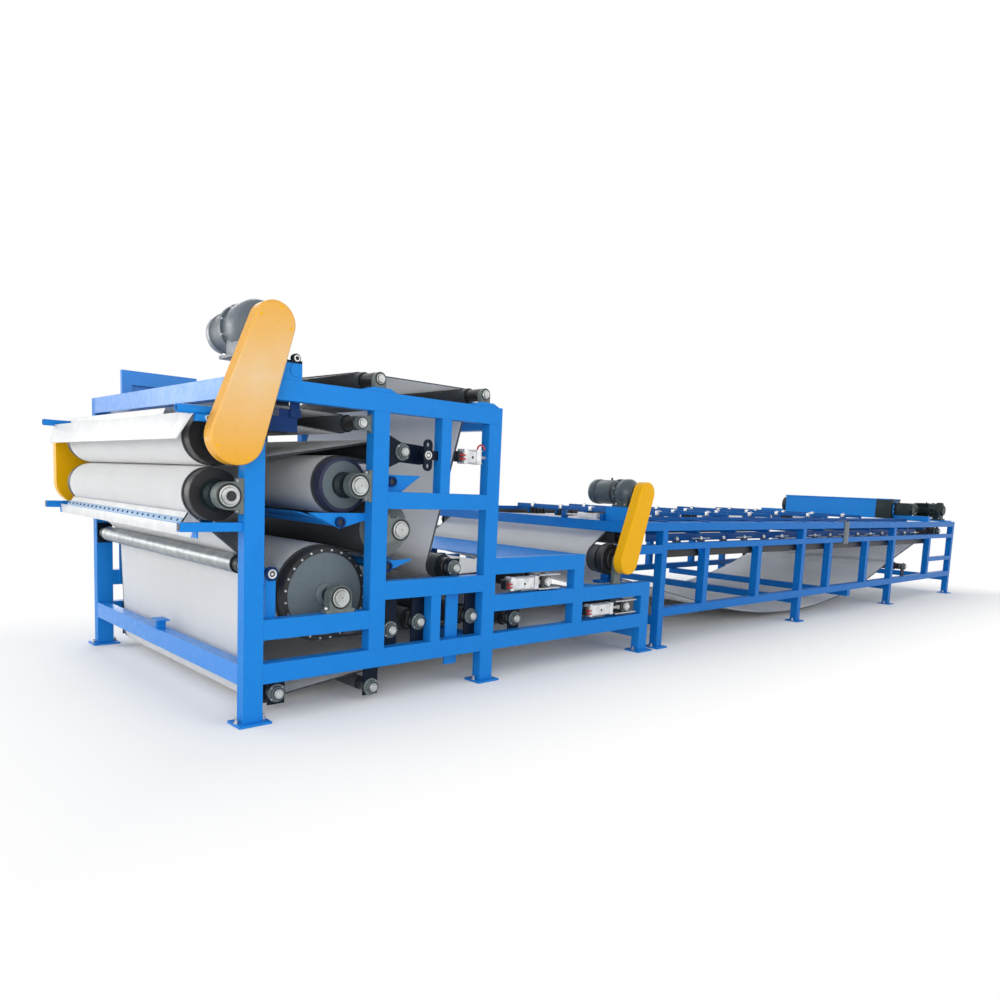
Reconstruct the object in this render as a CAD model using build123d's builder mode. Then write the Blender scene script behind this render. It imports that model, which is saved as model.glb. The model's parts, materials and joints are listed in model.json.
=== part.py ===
"""Belt filter press: a press frame with two squeezing belts, fed by a long gravity table.

Frame: +Z up, +X along the machine from the press towards the feed end, +Y across it.
Origin: on the floor, centred between the two front feet. All sizes in millimetres.
"""

import os
from math import atan2, cos, hypot, pi, sin

from build123d import *

os.makedirs("parts", exist_ok=True)

# Press frame, square and flat tube
frame_width = 2740.0
tube_along = 120.0
tube_across = 80.0
tube_height = 120.0
mid_beam_height = 110.0

# Post centres along the machine
post_x_front = 0.0
post_x_middle = 845.0
post_x_rear = 1820.0
post_x_step = 2820.0
post_x_last = 3745.0
stub_post_x = 1330.0
thin_post_x = 1372.0
thin_post_along = 84.0

# Heights of the tops of the rails
top_beam_z = 1990.0
mid_beam_z = 1370.0
front_rail_z = 610.0
rear_rail_z = 790.0
bottom_beam_z = 350.0
step_one_z = 910.0
step_two_z = 635.0

# Feet
foot_thickness = 14.0
foot_margin = 40.0
foot_hole_radius = 10.0
foot_hole_inset = 18.0

# Gravity table
table_tube = 80.0
table_leg_x = (4005.0, 6802.0, 9592.0, 12075.0)
table_upright_x = (4732.0, 5780.0, 7543.0, 8669.0, 11038.0)
table_top_z = 1172.0
table_second_z = 976.0
table_second_height = 60.0
table_bottom_z = 372.0
table_rail_overhang = 560.0
table_tie_x = 8180.0
table_stub_z = 965.0
end_rail_z = 620.0
end_rail_height = 60.0
end_beam_height = 90.0

# Rollers and belts
roller_end_gap = 120.0
belt_margin = 70.0
belt_thickness = 6.0
seat_gap = 0.3
running_gap = 0.05

nip_radius = 150.0
nip_x = -145.0
lower_nip_z = 1320.0
upper_nip_z = 1640.0
middle_radius = 175.0
middle_x = 695.0
middle_z = 1401.0
rear_radius = 190.0
rear_x = 1015.0
rear_z = 1123.0
drum_radius = 300.0
drum_x = 576.0
drum_z = 704.0
cross_radius = 70.0
cross_x = 1062.0
cross_z = 1632.0

upper_return_x = 715.0
upper_return_z = 1790.0
upper_front_x = 190.0
upper_front_z = 1932.0
top_front_x = 840.0
top_rear_x = 1730.0
top_idler_rise = 82.0
idler_radius = 55.0
turn_radius = 85.0
turn_x = 1540.0
turn_z = 845.0
tension_radius = 85.0
upper_tension_x = 2460.0
upper_tension_z = 705.0
wedge_radius = 75.0
wedge_x = (1717.0, 1237.0)
wedge_small_radius = 45.0
wedge_small_x = 1002.0
wedge_rise = 6.0

guide_pipe_radius = 57.0
guide_pipe_z = 920.0
lower_turn_radius = 90.0
lower_turn_x = 185.0
lower_turn_z = 145.0
lower_return_radius = 45.0
lower_return_x = 860.0
lower_return_z = 84.0
lower_tension_x = 3490.0
lower_tension_z = 428.0
support_x = 2165.0
support_z = 428.0
support_radius = 70.0

table_end_x = 3580.0
table_end_radius = 80.0
table_belt_z = 1120.0
table_drive_x = 3350.0
table_drive_z = 845.0
table_drive_radius = 115.0
table_tail_x = 11560.0
table_tail_radius = 100.0
table_return_x = 10240.0
table_return_radius = 55.0
table_return_clear = 11.0
sag_x = 7240.0
sag_z = 60.0
sag_radius = 9000.0

# Shafts and bearings
main_shaft_radius = 45.0
idler_shaft_radius = 20.0
main_bearing_radius = 78.0
main_bearing_width = 70.0
main_foot_width = 200.0
main_foot_thickness = 24.0
idler_bearing_radius = 44.0
idler_bearing_width = 34.0
strap_width = 110.0
strap_thickness = 12.0
idler_end = 12.0

# Chain drives
guard_depth = 88.0
guard_gap = 16.0
press_motor_x = 65.0
press_motor_z = 2270.0
press_guard_top_radius = 120.0
press_guard_bottom_radius = 152.0
table_motor_x = 3550.0
table_motor_z = 1425.0
table_guard_top_radius = 98.0
table_guard_bottom_radius = 115.0

press_stand_x = (30.0, 283.0)
press_stand_z = 2085.0
table_stand_z = 1300.0
stand_clear = 20.0
tail_motor_x = 11800.0
tail_motor_z = 1345.0
tail_stand_z = 1192.0
guard_round = 12.0
gear_cover_radius = 175.0
slide_block = 45.0
motor_foot_rise = 10.0
motor_shaft_radius = 25.0
terminal_box_half = 60.0

# Deflector over the upper nip roller and scraper under the lower one
upper_arm_reach = -420.0
upper_arm_z = 1772.0
upper_arm_radius = 28.0
deflector_top_x = -336.0
deflector_foot = (-390.0, 1615.0)
deflector_thickness = 6.0
lower_arm_reach = -410.0
lower_arm_z = 1147.0
lower_arm_half = 25.0
scraper_tip = (-268.0, 1213.0)
scraper_bend = (-308.0, 1150.0)
scraper_foot_z = 1085.0
scraper_thickness = 8.0

# Doctor blades: pivot, blade tip and the side plate's corners
doctor_rod_radius = 28.0
doctor_blade = 8.0
doctors = (
    (
        (600.0, 1170.0), (420.0, 1222.0),
        ((380.0, 1228.0), (820.0, 1228.0), (820.0, 1190.0), (600.0, 1130.0)),
    ),
    (
        (983.0, 1436.0), (1165.0, 1470.0),
        ((945.0, 1330.0), (1010.0, 1330.0), (1222.0, 1480.0), (950.0, 1480.0)),
    ),
    (
        (966.0, 878.0), (1140.0, 908.0),
        ((870.0, 850.0), (970.0, 845.0), (1163.0, 912.0), (1163.0, 922.0), (870.0, 912.0)),
    ),
    (
        (141.0, 868.0), (215.0, 740.0),
        ((108.0, 520.0), (174.0, 520.0), (174.0, 900.0), (108.0, 900.0)),
    ),
)

# Slotted plates that guide the crossover roller, and the links that join them to its bearings
slot_plate_x = (1210.0, 1280.0)
slot_plate_z = (1515.0, 1727.0)
slot_plate_thickness = 14.0
slot_hole_radius = 15.0
slot_arm_half = 30.0
link_radius = 65.0
link_boss_radius = 30.0

# Belt washing
wash_x = (190.0, 330.0)
wash_z = (1785.0, 1830.0)
wash_hanger_x = (255.0, 315.0)
wash_end_x = (126.0, 307.0)
wash_end_z = 1700.0
wash_end_clear = 30.0

# Pneumatic cylinders: both ends of the body, height, and where the rod ends
cylinder_cap = 40.0
cylinder_cap_half = (36.0, 55.0)
cylinder_radius = 34.0
piston_radius = 12.0
tracking_cylinder = (1540.0, 1700.0, 1632.0)
upper_tension_cylinder = (2050.0, 2350.0)
lower_tension_cylinder = (2990.0, 3300.0)

# Splash frame on the far top beam
splash_x = (150.0, 760.0)
splash_top = 2240.0
splash_band = 115.0
splash_post = 80.0
splash_across = 40.0

# Gravity table fittings
grid_pitch = 700.0
grid_bar = 40.0
grid_x = (3980.0, 11300.0)
slat_count = 9
slat_width = 10.0
skirt_gap = 16.0
skirt_thickness = 10.0
skirt_rise = 36.0
skirt_clear = 4.0
skirt_x = (3740.0, 10700.0)
skirt_bracket = 40.0
apron_x = (4045.0, 11000.0)
apron_drop = 80.0
grid_side_gap = 60.0
sheet_thickness = 6.0
plough_x = (4560.0, 5480.0, 6400.0, 7900.0, 8960.0)
plough_bar = 40.0
plough_blade_long = 200.0
plough_clear = 14.0
plough_lane = 440.0
chute_head = (3205.0, 868.0)
chute_foot = (2960.0, 770.0)
chute_thickness = 8.0
chute_cheek_x = (2990.0, 3120.0)

# Feed end
feed_x = (10740.0, 11080.0)
feed_z = (1190.0, 1490.0)
feed_half = 860.0
feed_bracket_x = (10860.0, 10960.0)
feed_bracket_rise = 80.0
feed_gear_x = (10820.0, 11000.0)
feed_gear_z = 1440.0
feed_gear_across = 260.0
feed_motor_z = 1345.0
feed_motor_radius = 80.0
feed_motor_long = 330.0

# Heights between which each pair of bearing straps runs
strap_spans = {
    "upper_front_roller": (1850.0, top_beam_z),
    "upper_turn_roller": (150.0, 910.0),
    "wedge_roller_1": (bottom_beam_z - tube_height, rear_rail_z),
    "wedge_roller_2": (bottom_beam_z - tube_height, rear_rail_z),
    "wedge_roller_3": (bottom_beam_z - tube_height, rear_rail_z),
    "guide_pipe_roller": (840.0, 1000.0),
    "lower_turn_roller": (75.0, bottom_beam_z),
    "lower_return_roller": (30.0, bottom_beam_z),
    "lower_support_roller": (bottom_beam_z - tube_height, step_two_z),
    "table_end_roller": (table_stub_z - table_tube, table_top_z),
    "table_return_roller": (table_bottom_z - table_tube, 520.0),
    "table_tail_roller": (table_second_z - table_second_height, table_top_z),
}

# Arms from the middle posts that carry the crossover roller
cross_arm_z = (1500.0, 1760.0)
cross_arm_end = 58.0

# Derived places
outer_y = frame_width / 2
side_y = outer_y - tube_across / 2
inner_y = outer_y - tube_across
half_along = tube_along / 2
post_top_z = top_beam_z - tube_height
roller_face = 2 * (inner_y - roller_end_gap)
belt_width = roller_face - 2 * belt_margin
lane_half = belt_width / 2
table_inner_y = outer_y - table_tube
strap_inner_y = inner_y - strap_thickness
sides = (-1.0, 1.0)
sag_reach = sag_radius + table_return_radius + table_return_clear
table_return_z = sag_z + sag_radius - (sag_reach ** 2 - (table_return_x - sag_x) ** 2) ** 0.5


def bar(x_low, x_high, y_low, y_high, z_low, z_high, mode=Mode.ADD):
    """A square bar between its low and high corners."""
    with BuildSketch(Plane.XY.offset(z_low)) as footprint:
        with Locations(((x_low + x_high) / 2, (y_low + y_high) / 2)):
            Rectangle(x_high - x_low, y_high - y_low)
    extrude(footprint.sketch, amount=z_high - z_low, mode=mode)


def side_bars(x_low, x_high, z_low, z_high, across=tube_across):
    """The same bar in the near and the far side frame."""
    for side in sides:
        edges = sorted((side * outer_y, side * (outer_y - across)))
        bar(x_low, x_high, edges[0], edges[1], z_low, z_high)


def rod(x, z, radius, y_low, y_high, mode=Mode.ADD):
    """A round bar that lies across the machine."""
    with BuildSketch(Plane.XZ.offset(-y_low)) as section:
        with Locations((x, z)):
            Circle(radius)
    extrude(section.sketch, amount=y_low - y_high, mode=mode)


def profile_bar(points, y_low, y_high):
    """A bar across the machine whose side view has straight edges."""
    with BuildSketch(Plane.XZ.offset(-y_low)) as section:
        with BuildLine():
            Polyline(*points, close=True)
        make_face()
    extrude(section.sketch, amount=y_low - y_high)


def sheet_points(start, end, thickness):
    """The corners of a flat sheet's side view, from its start to its end."""
    length = hypot(end[0] - start[0], end[1] - start[1])
    lean_x = -(end[1] - start[1]) / length * thickness / 2
    lean_z = (end[0] - start[0]) / length * thickness / 2
    return (
        (start[0] + lean_x, start[1] + lean_z), (end[0] + lean_x, end[1] + lean_z),
        (end[0] - lean_x, end[1] - lean_z), (start[0] - lean_x, start[1] - lean_z),
    )


def finish(part, name):
    """Name a finished piece and write it out."""
    part.label = name
    export_step(part, f"parts/{name}.step")


def tangent(first, second):
    """The straight run from one wheel to the next, as two points.

    A wheel is (x, z, radius, turn) with turn 1 for clockwise and -1 for the other way,
    seen from the near side with +X to the right.
    """
    x_one, z_one, radius_one, turn_one = first
    x_two, z_two, radius_two, turn_two = second
    distance = hypot(x_two - x_one, z_two - z_one)
    heading = atan2(z_two - z_one, x_two - x_one)
    # A clockwise wheel keeps its centre on the right of the moving belt
    lean = (turn_two * radius_two - turn_one * radius_one) / distance
    course = heading + atan2(lean, (1 - lean * lean) ** 0.5)
    left_x, left_z = -sin(course), cos(course)
    start = (x_one + turn_one * radius_one * left_x, z_one + turn_one * radius_one * left_z)
    end = (x_two + turn_two * radius_two * left_x, z_two + turn_two * radius_two * left_z)
    return start, end


def arc_middle(wheel, start, end):
    """The point halfway along the arc that the belt follows on a wheel."""
    x, z, radius, turn = wheel
    angle_one = atan2(start[1] - z, start[0] - x)
    angle_two = atan2(end[1] - z, end[0] - x)
    sweep = (turn * (angle_one - angle_two)) % (2 * pi)
    middle = angle_one - turn * sweep / 2
    return (x + radius * cos(middle), z + radius * sin(middle))


def draw_loop(wheels, offset):
    """Draw a closed belt line round a list of wheels, moved to its left by offset."""
    moved = [(x, z, radius + turn * offset, turn) for x, z, radius, turn in wheels]
    count = len(moved)
    runs = [tangent(moved[index], moved[(index + 1) % count]) for index in range(count)]
    for index in range(count):
        arrive = runs[index - 1][1]
        leave = runs[index][0]
        ThreePointArc(arrive, arc_middle(moved[index], arrive, leave), leave)
        Line(runs[index][0], runs[index][1])


def belt(name, wheels):
    """A closed belt of even thickness round its wheels, listed clockwise round the loop."""
    with BuildPart() as loop:
        with BuildSketch(Plane.XZ.offset(lane_half)) as section:
            with BuildLine() as outer:
                draw_loop(wheels, belt_thickness / 2)
            make_face(outer.line)
            with BuildLine() as inner:
                draw_loop(wheels, -belt_thickness / 2)
            make_face(inner.line, mode=Mode.SUBTRACT)
        extrude(section.sketch, amount=-belt_width)
    finish(loop.part, name)


def block_profile(x, z, toward, reach, housing, foot_width, foot_thickness_, bore):
    """The side view of a plummer block: a round housing on a flat foot."""
    turn = {"down": 0, "right": 90, "up": 180, "left": 270}[toward]
    place = Location((x, z), turn)
    with Locations(place):
        Circle(housing)
        with Locations((0, -reach / 2)):
            Rectangle(2 * housing, reach)
        with Locations((0, -reach + foot_thickness_ / 2)):
            Rectangle(foot_width, foot_thickness_)
        Circle(bore, mode=Mode.SUBTRACT)


def main_blocks(x, z, toward, reach):
    """A pair of plummer blocks in the plane of the side frames."""
    for side in sides:
        middle = side * side_y
        with BuildSketch(Plane.XZ.offset(-(middle - main_bearing_width / 2))) as view:
            block_profile(
                x, z, toward, reach, main_bearing_radius, main_foot_width,
                main_foot_thickness, main_shaft_radius + running_gap,
            )
        extrude(view.sketch, amount=-main_bearing_width)


def idler_blocks(x, z, toward, reach, y_middle):
    """A pair of small plummer blocks."""
    for side in sides:
        middle = side * y_middle
        with BuildSketch(Plane.XZ.offset(-(middle - idler_bearing_width / 2))) as view:
            block_profile(
                x, z, toward, reach, idler_bearing_radius, 2.6 * idler_bearing_radius,
                14.0, idler_shaft_radius + running_gap,
            )
        extrude(view.sketch, amount=-idler_bearing_width)


def flange_bearings(x, z):
    """A pair of round flange bearings on the inner face of their straps."""
    for side in sides:
        edges = sorted((side * strap_inner_y, side * (strap_inner_y - idler_bearing_width)))
        rod(x, z, idler_bearing_radius, edges[0], edges[1])
        rod(x, z, idler_shaft_radius + running_gap, edges[0], edges[1], mode=Mode.SUBTRACT)


def straps(x, z_low, z_high, shaft_z):
    """Flat straps inside both side frames that carry a pair of flange bearings."""
    for side in sides:
        edges = sorted((side * inner_y, side * strap_inner_y))
        bar(x - strap_width / 2, x + strap_width / 2, edges[0], edges[1], z_low, z_high)
        rod(x, shaft_z, idler_shaft_radius + 2.0, edges[0], edges[1], mode=Mode.SUBTRACT)


def roller(name, x, z, radius, shaft_radius, shaft_half, face=roller_face):
    """A roller with a plain shaft, turning about a line across the machine."""
    with BuildPart() as body:
        rod(x, z, radius, -face / 2, face / 2)
        rod(x, z, shaft_radius, -shaft_half, shaft_half)
    finish(body.part, name)


# Feet
with BuildPart() as feet:
    press_half = (half_along + foot_margin, tube_across / 2 + foot_margin)
    table_half = (table_tube / 2 + foot_margin, table_tube / 2 + foot_margin)
    press_spots = [(x, press_half) for x in (post_x_front, post_x_rear, post_x_last)]
    table_spots = [(x, table_half) for x in table_leg_x]
    for side in sides:
        for x, half in press_spots + table_spots:
            middle = side * (outer_y - tube_across / 2)
            bar(x - half[0], x + half[0], middle - half[1], middle + half[1], 0.0, foot_thickness)
            for end in sides:
                hole_x = x + end * (half[0] - foot_hole_inset)
                with BuildSketch(Plane.XY) as hole:
                    with Locations((hole_x, middle)):
                        Circle(foot_hole_radius)
                extrude(hole.sketch, amount=foot_thickness, mode=Mode.SUBTRACT)
finish(feet.part, "foot_plates")

# Press frame, posts
with BuildPart() as posts:
    for x in (post_x_front, post_x_rear):
        side_bars(x - half_along, x + half_along, foot_thickness, post_top_z)
    side_bars(post_x_middle - half_along, post_x_middle + half_along, bottom_beam_z, post_top_z)
    side_bars(post_x_last - half_along, post_x_last + half_along, foot_thickness, step_two_z)
    side_bars(post_x_step - half_along, post_x_step + half_along, bottom_beam_z, step_one_z)
    side_bars(stub_post_x - 42, stub_post_x + 42, bottom_beam_z, rear_rail_z - tube_height)
    side_bars(
        thin_post_x - thin_post_along / 2, thin_post_x + thin_post_along / 2,
        mid_beam_z, post_top_z,
    )
finish(posts.part, "press_posts")

# Press frame, beams along both sides
with BuildPart() as press_rails:
    side_bars(post_x_front - half_along, post_x_rear + half_along, post_top_z, top_beam_z)
    front_end = post_x_front + half_along
    middle_start = post_x_middle - half_along
    middle_end = post_x_middle + half_along
    rear_start = post_x_rear - half_along
    rear_end = post_x_rear + half_along
    last_start = post_x_last - half_along
    bottom_low = bottom_beam_z - tube_height
    side_bars(middle_end, rear_start, mid_beam_z - mid_beam_height, mid_beam_z)
    side_bars(front_end, middle_start, front_rail_z - tube_height, front_rail_z)
    side_bars(middle_end, rear_start, rear_rail_z - tube_height, rear_rail_z)
    side_bars(front_end, rear_start, bottom_low, bottom_beam_z)
    side_bars(rear_end, last_start, bottom_low, bottom_beam_z)
    step_start = post_x_step - half_along
    step_end = post_x_step + half_along
    side_bars(rear_end, step_start, step_one_z - tube_height, step_one_z)
    side_bars(rear_end, step_start, step_two_z - tube_height, step_two_z)
    side_bars(step_end, last_start, step_two_z - tube_height, step_two_z)
finish(press_rails.part, "press_rails")

# Beams across the press
with BuildPart() as cross_beams:
    front_low = post_x_front - half_along
    bar(front_low, front_low + tube_across, -inner_y, inner_y, post_top_z, top_beam_z)
    bar(front_low, front_low + tube_across, -inner_y, inner_y, bottom_low, bottom_beam_z)
    bar(rear_end - tube_across, rear_end, -inner_y, inner_y, post_top_z - 40, top_beam_z - 40)
    bar(rear_end - tube_across, rear_end, -inner_y, inner_y, 240.0, 320.0)
    bar(last_start, last_start + tube_across, -inner_y, inner_y, 130.0, 210.0)
finish(cross_beams.part, "press_cross_beams")

# Gravity table frame
with BuildPart() as table_posts:
    for x in table_leg_x:
        side_bars(
            x - table_tube / 2, x + table_tube / 2,
            foot_thickness, table_top_z - table_tube, table_tube,
        )
    for x in table_upright_x:
        side_bars(
            x - table_tube / 2, x + table_tube / 2,
            table_bottom_z, table_second_z - table_second_height, table_tube,
        )
finish(table_posts.part, "table_posts")

with BuildPart() as table_rails:
    side_bars(
        table_leg_x[0] - table_rail_overhang, table_leg_x[-1] + table_tube / 2,
        table_top_z - table_tube, table_top_z, table_tube,
    )
    for start, end in zip(table_leg_x[:-1], table_leg_x[1:]):
        low = start + table_tube / 2
        high = end - table_tube / 2
        side_bars(low, high, table_second_z - table_second_height, table_second_z, table_tube)
        side_bars(low, high, table_bottom_z - table_tube, table_bottom_z, table_tube)
    side_bars(
        table_leg_x[0] - table_rail_overhang, table_leg_x[0] - table_tube / 2,
        table_stub_z - table_tube, table_stub_z, table_tube,
    )
    side_bars(
        table_upright_x[-1] + table_tube / 2, table_leg_x[-1] - table_tube / 2,
        end_rail_z - end_rail_height, end_rail_z, table_tube,
    )
finish(table_rails.part, "table_rails")

with BuildPart() as table_cross:
    for x in table_leg_x:
        half = table_tube / 2
        high = table_bottom_z - table_tube
        bar(x - half, x + half, -table_inner_y, table_inner_y, high - table_tube, high)
    bar(
        table_tie_x - half, table_tie_x + half, -outer_y, outer_y, high - table_tube, high,
    )
finish(table_cross.part, "table_cross_beams")

with BuildPart() as end_beam:
    rail_start = table_leg_x[0] - table_rail_overhang
    bar(
        rail_start - table_tube, rail_start, -outer_y, outer_y,
        table_top_z - end_beam_height, table_top_z,
    )
finish(end_beam.part, "table_end_beam")

# Rollers
main_shaft_half = outer_y + guard_gap - seat_gap
idler_shaft_half = inner_y - seat_gap
wedge_z = drum_z - drum_radius + wedge_radius + wedge_rise
wedge_small_z = drum_z - drum_radius + wedge_small_radius + wedge_rise / 2
top_idler_z = top_beam_z + top_idler_rise
table_end_z = table_belt_z - table_end_radius
table_tail_z = table_belt_z - table_tail_radius

roller("upper_nip_roller", nip_x, upper_nip_z, nip_radius, main_shaft_radius, main_shaft_half)
roller("lower_nip_roller", nip_x, lower_nip_z, nip_radius, main_shaft_radius, main_shaft_half)
roller("middle_roller", middle_x, middle_z, middle_radius, main_shaft_radius, main_shaft_half)
roller("rear_roller", rear_x, rear_z, rear_radius, main_shaft_radius, main_shaft_half)
roller("press_drum", drum_x, drum_z, drum_radius, main_shaft_radius, main_shaft_half)

idlers = {
    "crossover_roller": (cross_x, cross_z, cross_radius),
    "upper_return_roller": (upper_return_x, upper_return_z, idler_radius),
    "upper_front_roller": (upper_front_x, upper_front_z, idler_radius),
    "top_front_roller": (top_front_x, top_idler_z, idler_radius),
    "top_rear_roller": (top_rear_x, top_idler_z, idler_radius),
    "upper_turn_roller": (turn_x, turn_z, turn_radius),
    "upper_tension_roller": (upper_tension_x, upper_tension_z, tension_radius),
    "wedge_roller_1": (wedge_x[0], wedge_z, wedge_radius),
    "wedge_roller_2": (wedge_x[1], wedge_z, wedge_radius),
    "wedge_roller_3": (wedge_small_x, wedge_small_z, wedge_small_radius),
    "guide_pipe_roller": (post_x_front, guide_pipe_z, guide_pipe_radius),
    "lower_turn_roller": (lower_turn_x, lower_turn_z, lower_turn_radius),
    "lower_return_roller": (lower_return_x, lower_return_z, lower_return_radius),
    "lower_tension_roller": (lower_tension_x, lower_tension_z, tension_radius),
    "lower_support_roller": (support_x, support_z, support_radius),
    "table_end_roller": (table_end_x, table_end_z, table_end_radius),
    "table_drive_roller": (table_drive_x, table_drive_z, table_drive_radius),
    "table_return_roller": (table_return_x, table_return_z, table_return_radius),
    "table_tail_roller": (table_tail_x, table_tail_z, table_tail_radius),
}
post_plane_idlers = (
    "upper_return_roller", "top_front_roller", "top_rear_roller",
    "upper_tension_roller", "lower_tension_roller",
)
post_plane_half = side_y + idler_bearing_width / 2 + idler_end
shaft_halves = {name: post_plane_half for name in post_plane_idlers}
shaft_halves["table_drive_roller"] = outer_y + guard_gap - seat_gap
for name, (x, z, radius) in idlers.items():
    roller(name, x, z, radius, idler_shaft_radius, shaft_halves.get(name, idler_shaft_half))

# Belts
near_line = seat_gap + belt_thickness / 2
far_line = near_line + belt_thickness + seat_gap


def wheel(name, turn, other_belt_between=False):
    """A roller as the belt path sees it: its place and the radius of the belt's middle."""
    x, z, radius = wheels_by_name[name]
    return (x, z, radius + (far_line if other_belt_between else near_line), turn)


wheels_by_name = dict(idlers)
wheels_by_name["upper_nip_roller"] = (nip_x, upper_nip_z, nip_radius)
wheels_by_name["lower_nip_roller"] = (nip_x, lower_nip_z, nip_radius)
wheels_by_name["middle_roller"] = (middle_x, middle_z, middle_radius)
wheels_by_name["rear_roller"] = (rear_x, rear_z, rear_radius)
wheels_by_name["press_drum"] = (drum_x, drum_z, drum_radius)

belt("upper_belt", [
    wheel("upper_nip_roller", 1),
    wheel("upper_return_roller", -1),
    wheel("upper_front_roller", 1),
    wheel("top_front_roller", 1),
    wheel("top_rear_roller", 1),
    wheel("upper_turn_roller", -1),
    wheel("upper_tension_roller", 1),
    wheel("wedge_roller_1", 1),
    wheel("press_drum", 1),
    wheel("rear_roller", -1, True),
    wheel("middle_roller", 1),
    wheel("crossover_roller", -1, True),
])
belt("lower_belt", [
    wheel("lower_nip_roller", 1),
    wheel("crossover_roller", 1),
    wheel("middle_roller", -1, True),
    wheel("rear_roller", 1),
    wheel("press_drum", -1, True),
    wheel("wedge_roller_1", -1, True),
    wheel("lower_support_roller", 1),
    wheel("lower_tension_roller", 1),
    wheel("lower_return_roller", -1),
    wheel("lower_turn_roller", 1),
    wheel("guide_pipe_roller", -1),
])
belt("table_belt", [
    wheel("table_end_roller", 1),
    wheel("table_tail_roller", 1),
    wheel("table_return_roller", -1),
    (sag_x, sag_z + sag_radius, sag_radius, 1),
    wheel("table_drive_roller", 1),
])

# Bearings
with BuildPart() as press_bearings:
    main_blocks(nip_x, upper_nip_z, "right", -half_along - nip_x)
    main_blocks(nip_x, lower_nip_z, "right", -half_along - nip_x)
    main_blocks(middle_x, middle_z, "right", middle_start - middle_x)
    main_blocks(rear_x, rear_z, "left", rear_x - middle_end)
    main_blocks(drum_x, drum_z, "down", drum_z - front_rail_z)
finish(press_bearings.part, "press_bearings")

with BuildPart() as idler_bearings:
    idler_blocks(top_front_x, top_idler_z, "down", top_idler_rise, side_y)
    idler_blocks(top_rear_x, top_idler_z, "down", top_idler_rise, side_y)
    idler_blocks(
        upper_return_x, upper_return_z, "right", middle_start - upper_return_x, side_y,
    )
    idler_blocks(table_drive_x, table_drive_z, "down", table_drive_z - step_two_z, side_y)
    for name in ("upper_tension_roller", "lower_tension_roller"):
        x, z, radius = idlers[name]
        for side in sides:
            middle = side * side_y
            low = middle - idler_bearing_width / 2
            high = middle + idler_bearing_width / 2
            bar(x - slide_block, x + slide_block, low, high, z - slide_block, z + slide_block)
            rod(x, z, idler_shaft_radius + running_gap, low, high, mode=Mode.SUBTRACT)
    for name in (*strap_spans, "crossover_roller"):
        flange_bearings(idlers[name][0], idlers[name][1])
finish(idler_bearings.part, "idler_bearings")

with BuildPart() as bearing_straps:
    for name, (low, high) in strap_spans.items():
        straps(idlers[name][0], low, high, idlers[name][1])
    arm_corner = 0.7 * cross_arm_end
    arm_view = (
        (post_x_middle, cross_arm_z[0]), (middle_end, cross_arm_z[0]),
        (cross_x + arm_corner, cross_z - arm_corner), (cross_x + cross_arm_end, cross_z),
        (cross_x + arm_corner, cross_z + arm_corner), (middle_end, cross_arm_z[1]),
        (post_x_middle, cross_arm_z[1]),
    )
    for side in sides:
        edges = sorted((side * inner_y, side * strap_inner_y))
        profile_bar(arm_view, edges[0], edges[1])
        rod(
            cross_x, cross_z, idler_shaft_radius + 2.0, edges[0], edges[1], mode=Mode.SUBTRACT,
        )
finish(bearing_straps.part, "bearing_straps")


def chain_guard(name, top, top_radius, bottom, bottom_radius):
    """A closed sheet-metal chain cover outside the near side frame."""
    with BuildPart() as cover:
        with BuildSketch(Plane.XZ.offset(outer_y + guard_gap)) as outline:
            with Locations(top):
                Circle(top_radius)
            with Locations(bottom):
                Circle(bottom_radius)
            make_hull()
        extrude(amount=guard_depth)
        fillet(cover.faces().sort_by(Axis.Y)[0].edges(), guard_round)
    finish(cover.part, name)


def gear_motor(name, x, z, foot_z, y_start, gear_radius, motor_radius, gear_long, motor_long):
    """An in-line gear motor with its output shaft towards the near side."""
    with BuildPart() as unit:
        y_gear = y_start + gear_long
        rod(x, z, gear_radius, y_start, y_gear)
        bar(x - gear_radius, x + gear_radius, y_start + motor_foot_rise, y_gear, foot_z, z)
        rod(x, z, motor_radius, y_gear, y_gear + motor_long)
        bar(
            x - motor_radius - terminal_box_half, x,
            y_gear + 0.3 * motor_long, y_gear + 0.7 * motor_long,
            z - terminal_box_half, z + terminal_box_half,
        )
        rod(x, z, motor_shaft_radius, -(outer_y + guard_gap - seat_gap), y_start)
    finish(unit.part, name)


# Chain drives
chain_guard(
    "press_chain_guard", (press_motor_x, press_motor_z), press_guard_top_radius,
    (nip_x, upper_nip_z), press_guard_bottom_radius,
)
chain_guard(
    "table_chain_guard", (table_motor_x, table_motor_z), table_guard_top_radius,
    (table_drive_x, table_drive_z), table_guard_bottom_radius,
)
with BuildPart() as gear_cover:
    with BuildSketch(Plane.XZ.offset(-(outer_y + guard_gap))) as outline:
        with Locations((nip_x, upper_nip_z), (nip_x, lower_nip_z)):
            Circle(gear_cover_radius)
        make_hull()
    extrude(amount=-guard_depth)
    fillet(gear_cover.faces().sort_by(Axis.Y)[-1].edges(), guard_round)
finish(gear_cover.part, "nip_gear_guard")

gear_motor(
    "press_gear_motor", press_motor_x, press_motor_z, press_stand_z, -outer_y + 20,
    150.0, 138.0, 250.0, 340.0,
)
gear_motor(
    "table_gear_motor", table_motor_x, table_motor_z, table_stand_z, -outer_y + 20,
    120.0, 108.0, 190.0, 290.0,
)
with BuildPart() as stands:
    bar(
        press_stand_x[0], press_stand_x[1], -outer_y, -lane_half - stand_clear,
        top_beam_z, press_stand_z,
    )
    bar(
        table_motor_x - 130, table_motor_x + 130, -outer_y, -lane_half - stand_clear,
        table_top_z, table_stand_z,
    )
    bar(
        tail_motor_x - 130, tail_motor_x + 130, -outer_y, -outer_y + 300,
        table_top_z, tail_stand_z,
    )
finish(stands.part, "motor_stands")

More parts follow.
